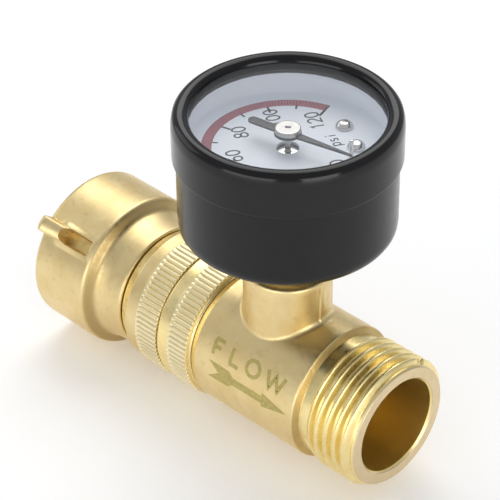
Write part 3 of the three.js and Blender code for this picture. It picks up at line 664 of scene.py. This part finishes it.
def housing(material, turned, satin):
    end = 41.5
    corners = [
        (28.0, 4.2, 0.2), (28.0, 9.4, 0.3), (29.9, 9.4), (29.9, 10.8), (33.5, 10.8),
        (33.5, 13.95, 0.22, "", 0.3), (36.2, 13.95, 0.08, "", 0.2),
        (36.35, 14.2, 0.1, "knurl_two", 0.22), (end, 14.2, 0.15, "knurl_two", 0.2),
        (end, 13.2, 0.05), (end + 0.42, 13.15, 0.05), (end + 0.42, 11.7), (48.6, 11.7),
        (48.6, 10.6), (34.5, 10.6), (34.5, 4.2), (32.6, 4.2), (32.6, 5.9), (30.8, 5.9), (30.8, 4.2),
    ]
    piece = lathe("spring_housing_visual", corners, material, angles=KNURL_TEETH * 8, shape=knurled)
    repaint(piece, turned, lambda x, r: (x < 36.0) & (r > 11.2))
    repaint(piece, satin, lambda x, r: (x > 36.2) & (r > 11.9))
    return show(piece, "regulator", "forged_brass", "spring_housing")


def coil_spring(material):
    """The regulating spring, built at one length; the real one shortens as the piston comes towards the seat.
    """
    start, end, radius, wire, turns = 34.8, 45.1, 7.6, 0.85, 3.5
    turn = np.linspace(0.0, turns * TAU, 253)
    rise = (end - start - 2.0 * wire) / (turns * TAU)
    outward = np.stack([np.zeros_like(turn), np.sin(turn), np.cos(turn)], axis=-1)
    tangent = np.stack([np.full_like(turn, rise), radius * np.cos(turn), -radius * np.sin(turn)], axis=-1)
    tangent /= np.linalg.norm(tangent, axis=-1)[:, None]
    sideways = np.cross(tangent, outward)
    middle = radius * outward
    middle[:, 0] = start + wire + rise * turn
    phi = np.linspace(0.0, TAU, 17)[:-1]
    across = np.cos(phi)[None, :, None] * outward[:, None, :]
    across = across + np.sin(phi)[None, :, None] * sideways[:, None, :]
    shell = Shell()
    shell.bar(middle[:, None, :] + wire * across)
    piece = shell.build("regulating_spring_visual", material, 50.0)
    show(piece, "regulator", "spring_steel", "regulating_spring")
    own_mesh(piece)
    return piece


# ---- regulator body ----

BARREL = 13.66
BOSS = 8.45
BOSS_FILLET = 1.1
PATCH_START, PATCH_END, PATCH_DEGREES = 43.8, 67.3, 58.0  # the part of the barrel round the boss
PATCH_HALF = math.radians(PATCH_DEGREES)
NECK = 12.36
OUTLET_BORE = 9.57
THREAD_NOTCH = math.radians(32.0)


def top_angles():
    """Angles over the patch, closest together at the top, where the seam meets the barrel."""
    steps = [0.35, 0.45, 0.6, 0.7, 0.9, 1.0, 1.2, 1.3, 1.5]
    places = [0.0]
    while places[-1] < PATCH_DEGREES - 0.1:
        step = steps[len(places) - 1] if len(places) <= len(steps) else 1.95
        places.append(places[-1] + step)
    half = np.radians(np.array(places) * PATCH_DEGREES / places[-1])
    return np.concatenate([-half[:0:-1], half])


def seam(theta):
    """The forging's parting line on the boss: a low ridge on its two sides along the flow."""
    off = BOSS * np.minimum(np.abs(signed_turn(theta)), np.abs(signed_turn(theta - math.pi)))
    groove = 0.10 * (1.0 - smooth_step(np.abs(off - 0.5), 0.05, 0.25))
    return 0.20 * (1.0 - smooth_step(off, 0.10, 0.30)) - groove


def boss_sheet(theta):
    """Rows from the boss's stem bore, over its top and down its side, through the fillet to the barrel."""
    top, rounding = BODY_HIGH[2], 0.7
    reach = BOSS + BOSS_FILLET
    centre = np.stack([
        GAUGE_X + reach * np.cos(theta),
        reach * np.sin(theta),
        np.sqrt((BARREL + BOSS_FILLET) ** 2 - (reach * np.sin(theta)) ** 2),
    ], axis=-1)
    def level(radius, z):
        radius, z = np.broadcast_arrays(radius, z, theta)[:2]
        return np.stack([GAUGE_X + radius * np.cos(theta), radius * np.sin(theta), z], axis=-1)
    rows = [level(0.0, 14.5), level(5.0, 14.5), level(5.2, 14.7), level(5.2, 18.0), level(5.2, top - 0.3)]
    rows += [level(5.5, top), level(7.0, top), level(BOSS - rounding, top)]
    for t in (0.25, 0.5, 0.75, 1.0):
        out, up = rounding * math.sin(t * math.pi / 2), rounding * math.cos(t * math.pi / 2)
        rows.append(level(BOSS - rounding + out, top - rounding + up))
    side = seam(theta)
    for t in np.linspace(0.0, 1.0, 9)[1:]:
        z = (1.0 - t) * (top - rounding) + t * centre[:, 2]
        rows.append(level(BOSS + side * min(1.0, 3.0 * t), z))
    to_boss = np.stack([-np.cos(theta), -np.sin(theta), np.zeros_like(theta)], axis=-1)
    to_barrel = np.stack([np.zeros_like(theta), -centre[:, 1], -centre[:, 2]], axis=-1)
    to_barrel /= np.linalg.norm(to_barrel, axis=-1)[:, None]
    angle = np.arccos(np.clip(np.sum(to_boss * to_barrel, axis=-1), -1, 1))
    for t in np.linspace(0.0, 1.0, 11)[1:]:
        direction = np.sin((1 - t) * angle)[:, None] * to_boss + np.sin(t * angle)[:, None] * to_barrel
        direction /= np.sin(angle)[:, None]
        shrink = BOSS_FILLET - (side * (1.0 - t) ** 2)
        rows.append(centre + shrink[:, None] * direction)
    return np.array(rows)


def body_rings():
    """The body's profile away from the boss, from the barrel's outlet end round to its inlet end."""
    end = BODY_HIGH[0]
    corners = [
        (PATCH_END, BARREL, 0.0, "", 0.3), (69.1, BARREL, 0.30, "", 0.25),
        (69.8, NECK, 0.10, "", 0.3), (71.7, NECK, 0.15, "thread", 0.11),
        (83.05, NECK, 0.1, "", 0.1), (end, 12.05, 0.12, "", 0.3),
        (end, OUTLET_BORE + 0.45, 0.08, "", 0.15), (end - 0.45, OUTLET_BORE, 0.1, "", 0.6),
        (50.3, OUTLET_BORE), (50.3, 12.0), (42.0, 12.0, 0.1), (42.0, 12.95, 0.1, "", 0.3),
        (43.5, BARREL, 0.4, "", 0.2), (PATCH_START, BARREL),
    ]
    profile, tags = outline(corners)
    last = int(np.argmin(np.abs(profile - corners[-1][:2]).sum(axis=1)))
    return profile[:last + 1], tags[:last + 1]


def body_thread(x, angles):
    """The hose thread: a flat crest, fading into the neck, blunt at the outlet's end."""
    height = thread_height(x, angles, 1.25, 72.0, hand=1.0)
    runs_in = smooth_step(x, 71.9, 73.2)
    floor = NECK - 0.31 * runs_in
    crest = 13.3 - 1.35 * smooth_step(x, 82.2, 83.1)
    from_notch = 12.7 * np.abs(signed_turn(angles - THREAD_NOTCH))
    notch = smooth_step(x, 81.75, 81.95) * (1.0 - smooth_step(from_notch, 0.65, 0.85))
    return np.minimum(floor + height * runs_in, crest) - 0.7 * notch


def regulator_body(material, turned, shaded, faced, bore):
    top = top_angles()
    rest = np.linspace(PATCH_HALF, TAU - PATCH_HALF, 131)[1:-1]
    every = np.concatenate([top, rest])
    shell = Shell()
    profile, tags = body_rings()
    rows = []
    for (x, radius), tag in zip(profile, tags):
        if tag == "thread":
            radius = body_thread(x, every)
        rows.append(around_x(x, radius, every))
    shell.sheet(np.array(rows), wrap_columns=True)
    along = np.linspace(PATCH_START, PATCH_END, 49)
    under = np.concatenate([top[-1:], rest, top[:1] + TAU])
    shell.sheet(around_x(along[:, None], BARREL, under[None, :]))
    border = [(x, top[0]) for x in along[:-1]] + [(along[-1], a) for a in top[:-1]]
    border += [(x, top[-1]) for x in along[:0:-1]] + [(along[0], a) for a in top[:0:-1]]
    border = np.array(border)
    theta = np.arctan2(BARREL * border[:, 1], border[:, 0] - GAUGE_X)
    boss = boss_sheet(theta)
    shell.sheet(boss, wrap_columns=True)
    foot = boss[-1]
    foot_angle = np.arctan2(foot[:, 1], foot[:, 2])
    patch = []
    for t in np.linspace(0.0, 1.0, 9):
        x = (1 - t) * foot[:, 0] + t * border[:, 0]
        angle = (1 - t) * foot_angle + t * border[:, 1]
        patch.append(around_x(x, BARREL, angle))
    shell.sheet(np.array(patch), wrap_columns=True)
    piece = shell.build("regulator_body_visual", material, 40.0)
    repaint(piece, turned, lambda x, r: (x > 69.75) | ((x > 41.9) & (x < 43.4) & (r < 13.66)))
    # Painted shade: the narrow chamfer at the barrel's outlet end gets the darker shaded brass.
    repaint(piece, shaded, lambda x, r: (x > 69.2) & (x < 69.85) & (r > 12.3))
    repaint(piece, faced, lambda x, r: x > 83.3)
    # Painted light: the bore gets bore_brass, whose bright orange colour stands in for the light bouncing
    # inside it.
    repaint(piece, bore, lambda x, r: (x < 83.2) & (r < 9.7) & (x > 50.0))
    return show(piece, "regulator", "forged_brass", "regulator_body")


# ---- etched marking on the barrel ----

ETCH_LIFT, ETCH_SINK = 0.015, -0.03


def on_barrel(x, arc, lift):
    return around_x(x, BARREL + lift, -arc / BARREL)


def etch(shell, x, arc):
    shell.slab(on_barrel(x, arc, ETCH_LIFT), on_barrel(x, arc, ETCH_SINK))


def etched_strip(shell, x, low, high):
    """A strip of marking along x between two arc lengths."""
    t = np.linspace(0.0, 1.0, 9)[None, :]
    etch(shell, x[:, None], low[:, None] * (1 - t) + high[:, None] * t)


def etched_stroke(shell, points, width):
    """A stroke of the marking along a line of (x, arc) points."""
    left, right = ribbon_edges(points, width)
    sheet = np.stack([left, 0.5 * (left + right), right], axis=1)
    etch(shell, sheet[..., 0], sheet[..., 1])


def ribbon_edges(points, width):
    points = np.asarray(points, dtype=float)
    ahead = np.vstack([points[1:] - points[:-1], points[-1] - points[-2]])
    back = np.vstack([points[1] - points[0], points[1:] - points[:-1]])
    ahead /= np.linalg.norm(ahead, axis=1)[:, None]
    back /= np.linalg.norm(back, axis=1)[:, None]
    mitre = ahead + back
    mitre /= np.linalg.norm(mitre, axis=1)[:, None]
    normal = np.stack([-mitre[:, 1], mitre[:, 0]], axis=1)
    stretch = 1.0 / np.clip(np.sum(mitre * ahead, axis=1), 0.5, 1.0)
    offset = 0.5 * width * stretch[:, None] * normal
    return points + offset, points - offset


def fine_line(points, step):
    points = np.asarray(points, dtype=float)
    places = []
    for start, finish in zip(points[:-1], points[1:]):
        pieces = max(1, math.ceil(np.linalg.norm(finish - start) / step))
        places += [start + (finish - start) * t for t in np.linspace(0, 1, pieces + 1)[:-1]]
    return np.array(places + [points[-1]])


def arc_line(x, y, across, upward, start, end, steps=12):
    turns = np.radians(np.linspace(start, end, steps + 1))
    return np.stack([x + across * np.cos(turns), y + upward * np.sin(turns)], axis=-1)


def flow_arrow(shell):
    centre, shaft_half = 19.75, 0.78
    tail_start, shaft_start, head_start, tip = 47.4, 53.8, 61.3, 67.6
    tail = np.linspace(tail_start, shaft_start, 17)
    inner = 1.75 * np.clip((50.0 - tail) / 2.6, 0.0, 1.0)
    feather = np.interp(tail, [tail_start, 49.0, 52.6, shaft_start], [1.8, 1.8, 1.7, shaft_half])
    for side in (-1.0, 1.0):
        etched_strip(shell, tail, centre + side * inner, centre + side * feather)
    shaft = np.linspace(shaft_start, head_start, 13)
    head = np.linspace(head_start, tip, 15)
    for x, half in ((shaft, np.full(13, shaft_half)), (head, np.linspace(1.5, 0.05, 15))):
        etched_strip(shell, x, centre - half, centre + half)


LETTERS = {
    "F": [[(0.9, 1.0), (0.0, 1.0)], [(0.07, 1.0), (0.07, 0.0)], [(0.1, 0.52), (0.75, 0.52)]],
    "L": [[(0.07, 1.0), (0.07, 0.0)], [(0.0, 0.0), (0.9, 0.0)]],
    "O": [arc_line(0.5, 0.5, 0.5, 0.5, 90.0, 450.0, 28)],
    "W": [[(0.0, 1.0), (0.25, 0.0), (0.5, 0.85), (0.75, 0.0), (1.0, 1.0)]],
}


def flow_word(shell):
    """The generic word that says which way the water goes."""
    height, stroke = 3.2, 0.78
    foot, start = 16.5, 47.6
    for letter, width, advance in (("F", 2.6, 4.5), ("L", 2.6, 4.2), ("O", 3.2, 5.1), ("W", 4.3, 4.5)):
        for line in LETTERS[letter]:
            line = np.asarray(line)
            placed = np.stack([start + line[:, 0] * width, foot - line[:, 1] * height], axis=-1)
            etched_stroke(shell, fine_line(placed, 0.35), stroke)
        start += advance


def barrel_marking(material):
    shell = Shell()
    flow_arrow(shell)
    flow_word(shell)
    return show(shell.build("flow_marking", material, 50.0), "regulator", "forged_brass")


# ---- gauge: stem, tube, case, bezel and window ----

STEM_SHOULDER = 34.2  # where the stem's turned part ends and its block begins
HEX_CORNER, HEX_CHAMFER = 6.2, 5.35
TUBE_RADIUS = 15.5
TUBE_ROOT, TUBE_TIP = 105.0, -143.0  # degrees about the gauge's axis

def hexagon(tag, z, radius, angles):
    apothem = HEX_CORNER * math.cos(math.pi / 6)
    turn = (angles - math.radians(30.0)) % (TAU / 6) - TAU / 12
    return z, np.minimum(radius, apothem / np.cos(turn))


def gauge_stem(material):
    """The turned stem with its hexagon, then its block and the arm that carries the tube's root."""
    corners = [
        (15.0, 1.2), (15.0, 5.0, 0.3), (22.9, 5.0, 0.1), (23.4, HEX_CHAMFER, 0.0, "hex", 0.2),
        (23.9, HEX_CORNER, 0.0, "hex", 0.5), (30.7, HEX_CORNER, 0.0, "hex", 0.2),
        (31.2, HEX_CHAMFER, 0.0, "", 0.3), (31.3, 5.0, 0.1), (STEM_SHOULDER, 5.0),
        (STEM_SHOULDER, 1.2),
    ]
    stem = lathe("gauge_stem_visual", corners, material, "z", GAUGE_CENTRE, 192, hexagon, 0.5, 25.0)
    show(stem, "regulator", "forged_brass", "gauge_stem")
    top = STEM_HIGH[2]
    shell = Shell()
    block = np.array([(-8.5, -4.0), (8.5, -4.0), (8.5, 4.0), (-8.5, 4.0)])
    shell.prism(block + (GAUGE_X, 0.0), STEM_SHOULDER, top, 0.3)
    arm_start, arm_end, half = 4.8, 16.9, 2.3
    arm = [(arm_start, -half), (arm_end, -half), (arm_end, half), (arm_start, half)]
    shell.prism(turned_flat(arm, math.radians(TUBE_ROOT)), STEM_SHOULDER, top - 1.0, 0.3)
    return show(shell.build("gauge_stem_block", material, 30.0), "regulator", "forged_brass", "gauge_stem")


def bourdon_tube(material):
    """The flattened tube, curved between its root and its tip and built in one fixed shape; the real tube
    bends open under pressure.
    """
    half_width, low, high = 0.75, 34.5, 38.5
    turn = np.radians(np.linspace(TUBE_ROOT, TUBE_TIP, 125))
    half = np.linspace(0.0, math.pi, 9)
    top = np.stack([half_width * np.cos(half), high - half_width + half_width * np.sin(half)], axis=-1)
    bottom = np.stack([-half_width * np.cos(half), low + half_width - half_width * np.sin(half)], axis=-1)
    section = np.vstack([top, bottom])
    reach = TUBE_RADIUS + section[None, :, 0]
    rows = np.stack([
        GAUGE_X + reach * np.cos(turn)[:, None],
        reach * np.sin(turn)[:, None],
        np.broadcast_to(section[None, :, 1], (len(turn), len(section))),
    ], axis=-1)
    shell = Shell()
    shell.bar(rows)
    piece = shell.build("bourdon_tube_visual", material, 50.0)
    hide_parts("bourdon_tube")
    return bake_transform(piece)


def gauge_case(material):
    low, high = CASE_LOW[2], CASE_HIGH[2]
    corners = [
        (low, 5.2, 0.2), (low, 20.3, 2.3, "", 0.8), (high, 20.3, 0.2, "", 0.4),
        (high, 19.3, 0.2, "", 0.8), (low + 1.0, 19.3, 1.8, "", 0.8), (low + 1.0, 5.2, 0.2),
    ]
    piece = lathe("gauge_case_visual", corners, material, "z", GAUGE_CENTRE, 192, step=0.8)
    return show(piece, "regulator", "black_paint", "gauge_case")


def gauge_bezel(material):
    low, high = BEZEL_LOW[2], BEZEL_HIGH[2]
    corners = [
        (low, 20.45, 0.1), (low, 21.05, 0.25, "", 0.3), (low + 0.7, 21.05, 0.0, "", 0.6),
        (high - 2.2, 21.05, 0.7, "", 0.3), (high - 0.65, 20.7, 0.6, "", 0.3),
        (high, 19.85, 0.6, "", 0.3), (high, 18.8, 0.5, "", 0.3), (high - 0.5, 18.0, 0.4, "", 0.2),
        (55.95, 17.7, 0.1, "", 0.3), (55.95, 20.45, 0.1, "", 0.6),
    ]
    piece = lathe("gauge_bezel_visual", corners, material, "z", GAUGE_CENTRE, 192, step=0.6)
    return show(piece, "regulator", "black_paint", "gauge_bezel")


def turned_solid(name, corners, material, angles, step=0.5, sharp=32.0, place=(0.0, 0.0)):
    """A turned piece about Z whose profile starts and ends on the axis."""
    profile, _ = outline([(corners[0][0], -0.5)] + corners[1:-1] + [(corners[-1][0], -0.5)], step)
    profile = profile[profile[:, 1] > 0]
    profile = np.vstack([[corners[0][0], 0.0], profile, [corners[-1][0], 0.0]])
    turns = np.arange(angles) * TAU / angles
    flat = np.array(place) + polar(profile[:, 1:], turns)
    high = np.broadcast_to(profile[:, :1, None], (*flat.shape[:2], 1))
    shell = Shell()
    shell.sheet(np.concatenate([flat, high], axis=-1), wrap_columns=True)
    return shell.build(name, material, sharp)


def gauge_window(material):
    low, high = WINDOW_LOW[2], WINDOW_HIGH[2]
    corners = [(low, 0.0), (low, 19.2, 0.2), (high, 19.2, 0.2), (high, 0.0)]
    piece = turned_solid("gauge_window_visual", corners, material, 128, 1.5, place=(GAUGE_X, 0.0))
    return show(piece, "regulator", "window_glass", "gauge_window")


# ---- gauge: dial, its print and its screws ----

DIAL_UP = math.radians(240.0)
FULL_SCALE = 120
INK_LIFT, INK_SINK = 0.012, -0.01
BAND_INNER, BAND_OUTER = 13.75, 15.75
DIGITS = {
    "0": [arc_line(0.5, 0.5, 0.5, 0.5, 90.0, 450.0, 24)],
    "1": [[(0.25, 0.78), (0.58, 1.0), (0.58, 0.0)]],
    "2": [np.vstack([arc_line(0.5, 0.71, 0.46, 0.29, 165.0, -35.0, 14), [(0.04, 0.0), (0.98, 0.0)]])],
    "4": [[(0.74, 0.0), (0.74, 1.0), (0.02, 0.28), (1.0, 0.28)]],
    "6": [arc_line(0.5, 0.31, 0.46, 0.31, 0.0, 360.0, 20), arc_line(0.92, 0.31, 0.88, 0.70, 180.0, 98.0, 8)],
    "8": [arc_line(0.5, 0.26, 0.48, 0.26, 0.0, 360.0, 20), arc_line(0.5, 0.76, 0.40, 0.24, 0.0, 360.0, 20)],
    "p": [[(0.05, -0.38), (0.05, 0.66)], arc_line(0.48, 0.31, 0.43, 0.34, 0.0, 360.0, 16)],
    "s": [np.vstack([
        arc_line(0.5, 0.50, 0.36, 0.16, 40.0, 240.0, 8),
        arc_line(0.5, 0.17, 0.38, 0.17, 60.0, -140.0, 8),
    ])],
    "i": [[(0.5, 0.0), (0.5, 0.66)], [(0.5, 0.86), (0.5, 1.0)]],
}


def value_angle(value):
    return math.radians(14.5 - 270.0 * value / FULL_SCALE)


def on_dial(points, lift):
    z = np.full(points.shape[:-1], DIAL_FACE + lift)
    return np.stack([GAUGE_X + points[..., 0], points[..., 1], z], axis=-1)


def dial_ribbon(shell, points, width, high=INK_LIFT, low=INK_SINK):
    sheet = np.stack(ribbon_edges(points, width), axis=1)
    shell.slab(on_dial(sheet, high), on_dial(sheet, low))


def dial_text(shell, text, radius, angle, height, width, advance, stroke):
    up = polar(1.0, DIAL_UP)
    over = np.array([up[1], -up[0]])
    centre = polar(radius, angle)
    total = advance * (len(text) - 1) + width
    for index, character in enumerate(text):
        left = index * advance - total / 2
        for line in DIGITS[character]:
            line = np.asarray(line, dtype=float)
            across = left + line[:, :1] * width
            rise = (line[:, 1:] - 0.5) * height
            dial_ribbon(shell, centre + across * over + rise * up, stroke)


def radial_tick(shell, angle, inner, outer, width, *levels):
    dial_ribbon(shell, [polar(inner, angle), polar(outer, angle)], width, *levels)


def dial_print(material):
    shell = Shell()
    for value in range(0, FULL_SCALE + 1, 10):
        if value % 20 == 0:
            radial_tick(shell, value_angle(value), 11.9, 14.0, 0.46)
            dial_text(shell, str(value), 10.0, value_angle(value), 2.5, 1.45, 1.95, 0.36)
        else:
            radial_tick(shell, value_angle(value), 12.7, 14.0, 0.38)
    radial_tick(shell, value_angle(FULL_SCALE), 11.9, BAND_OUTER, 0.36)
    dial_text(shell, "psi", 8.4, DIAL_UP - math.pi, 2.0, 1.05, 1.4, 0.28)
    return show(shell.build("dial_print", material, 60.0), "regulator", "dial_white")


def dial_red_arc(band_ink, stroke_ink):
    """The upper half of the scale has a red band, hatched with darker radial strokes."""
    start, end = value_angle(FULL_SCALE / 2), value_angle(FULL_SCALE)
    turns = np.linspace(start, end, 91)
    sheet = np.stack([polar(BAND_INNER, turns), polar(BAND_OUTER, turns)], axis=1)
    shell = Shell()
    shell.slab(on_dial(sheet, INK_LIFT), on_dial(sheet, INK_SINK))
    show(shell.build("dial_red_band", band_ink, 60.0), "regulator", "dial_white")
    strokes = Shell()
    count = 62
    for index in range(count):
        middle = start + (index + 0.5) / count * (end - start)
        radial_tick(strokes, middle, BAND_INNER, BAND_OUTER, 0.32, 2 * INK_LIFT, 0.0)
    show(strokes.build("dial_red_hatching", stroke_ink, 60.0), "regulator", "dial_white")


def dial_plate(material):
    low, high, rim = DIAL_LOW[2], DIAL_FACE, DIAL_HIGH[2]
    corners = [
        (low, 2.05, 0.05), (low, 18.9, 0.2), (rim, 18.9, 0.1), (rim, 18.55, 0.1),
        (high, 18.55, 0.5, "", 0.8), (high, 2.05, 0.1, "", 0.8),
    ]
    piece = lathe("dial_visual", corners, material, "z", GAUGE_CENTRE, 128, step=1.5)
    return show(piece, "regulator", "dial_white", "dial")


def dial_screw(node, material):
    low, high = box(node)
    middle = 0.5 * (low + high)
    seat = DIAL_FACE + 0.05
    corners = [(low[2], 0.0), (low[2], 0.9, 0.1), (seat, 0.9), (seat, 1.68, 0.12, "", 0.1)]
    corners += [(seat + 0.42, 1.62, 0.3, "", 0.1), (high[2] - 0.03, 0.95, 0.5, "", 0.1), (high[2], 0.0)]
    piece = turned_solid(node + "_visual", corners, material, 48, 0.2, 50.0, middle[:2])
    return show(piece, "regulator", "steel", node)


def stop_pin(material):
    middle = 0.5 * (PIN_LOW + PIN_HIGH)
    low, high = PIN_LOW[2], PIN_HIGH[2]
    corners = [(low, 0.0), (low, 0.4, 0.05), (high, 0.4, 0.25, "", 0.3), (high, 0.0)]
    piece = turned_solid("stop_pin_visual", corners, material, 32, 0.4, 50.0, middle[:2])
    return show(piece, "regulator", "steel", "stop_pin")


# ---- gauge: pointer ----

POINTER_ANGLE = math.radians(10.5)


def pointer(material):
    hub, half, tail, tip, shoulder = 2.5, 0.92, 8.4, 13.6, 0.30
    join = math.asin(half / hub)
    points = np.vstack([
        arc_line(0, 0, hub, hub, math.degrees(shoulder), math.degrees(math.pi - join), 16),
        arc_line(half - tail, 0, half, half, 90.0, 270.0, 12),
        arc_line(0, 0, hub, hub, math.degrees(math.pi + join), math.degrees(TAU - shoulder), 16),
        arc_line(tip - 0.17, 0, 0.17, 0.17, -80.0, 80.0, 6),
    ])
    shell = Shell()
    shell.prism(turned_flat(points, POINTER_ANGLE), POINTER_LOW[2], POINTER_HIGH[2], 0.06)
    return show(shell.build("pointer_visual", material, 30.0), "pointer_staff", "pointer_black", "pointer")


def pointer_hub(material):
    low, high = HUB_LOW[2], HUB_HIGH[2]
    corners = [(low, 0.0), (low, 2.4, 0.1), (high - 0.03, 2.4, 0.35, "", 0.2), (high - 0.03, 0.0)]
    hub = turned_solid("pointer_hub_visual", corners, material, 64, 0.3, 40.0, (GAUGE_X, 0.0))
    return show(hub, "pointer_staff", "steel", "pointer_hub")


def hub_mark(material):
    """The squared end of the staff, riveted over in the hub."""
    high = HUB_HIGH[2]
    corner = np.array([(-0.55, -0.3), (0.55, -0.3), (0.55, 0.3), (-0.55, 0.3)])
    shell = Shell()
    shell.prism(turned_flat(corner, POINTER_ANGLE + 0.5), high - 0.1, high, 0.02)
    return show(shell.build("staff_rivet", material, 30.0), "pointer_staff", "pointer_black")


# ---- everything together ----

def dress_frame(looks):
    """Gives every carried-over CAD object the finish of its material slot."""
    for name, node in frame["nodes"].items():
        for place in node.material_slots:
            place.material = looks[SLOT_OF[name]]


def build():
    looks = {
        "forged_brass": forged_brass(),
        "turned_brass": turned_brass(),
        "black_paint": black_paint(),
        "steel": steel(),
        "spring_steel": steel("spring_steel", 0.20, 0.34, (0.62, 0.62, 0.62), (0.42, 0.42, 0.43)),
        "rubber": black_rubber(),
        "dial_white": dial_paint(),
        "window_glass": window_glass(),
        "pointer_black": pointer_paint(),
    }
    brass, turned, plated = looks["forged_brass"], looks["turned_brass"], looks["steel"]
    print_ink = ink("dial_ink", (0.035, 0.036, 0.04), (0.06, 0.06, 0.066))
    band_ink = ink("band_ink", (0.50, 0.17, 0.21), (0.58, 0.23, 0.27))
    stroke_ink = ink("stroke_ink", (0.27, 0.05, 0.08), (0.36, 0.09, 0.12))
    # shaded_brass is a darker copy of the forged brass: painted shade for the nut's lug pockets and the
    # barrel's end chamfer.
    shaded = forged_brass("shaded_brass", (0.60, 0.44, 0.18), (0.54, 0.385, 0.15), (0.44, 0.31, 0.11))
    satin = forged_brass("satin_brass", (0.90, 0.79, 0.50), (0.87, 0.75, 0.46), (0.80, 0.66, 0.35))
    faced = forged_brass("faced_brass", (0.76, 0.62, 0.39), (0.72, 0.57, 0.34), (0.64, 0.48, 0.26))
    swivel_nut(brass, shaded)
    washer(looks["rubber"])
    screen(plated)
    inlet_tailpiece(brass, turned, satin)
    housing(brass, turned, satin)
    regulator_body(brass, turned, shaded, faced, bore_brass())
    coil_spring(looks["spring_steel"])
    barrel_marking(etched_brass())
    gauge_stem(brass)
    bourdon_tube(looks[SLOT_OF["bourdon_tube"]])
    gauge_case(looks["black_paint"])
    gauge_bezel(black_paint("bezel_paint", 0.32, 0.10, 0.16))
    gauge_window(looks["window_glass"])
    dial_plate(looks["dial_white"])
    dial_print(print_ink)
    dial_red_arc(band_ink, stroke_ink)
    dial_screw("dial_screw_1", plated)
    dial_screw("dial_screw_2", plated)
    stop_pin(plated)
    pointer(looks["pointer_black"])
    pointer_hub(steel("satin_steel", 0.32, 0.42, (0.60, 0.585, 0.555), (0.50, 0.49, 0.465)))
    hub_mark(looks["pointer_black"])
    dress_frame(looks)


add_camera()
add_lights()
add_floor()
build()
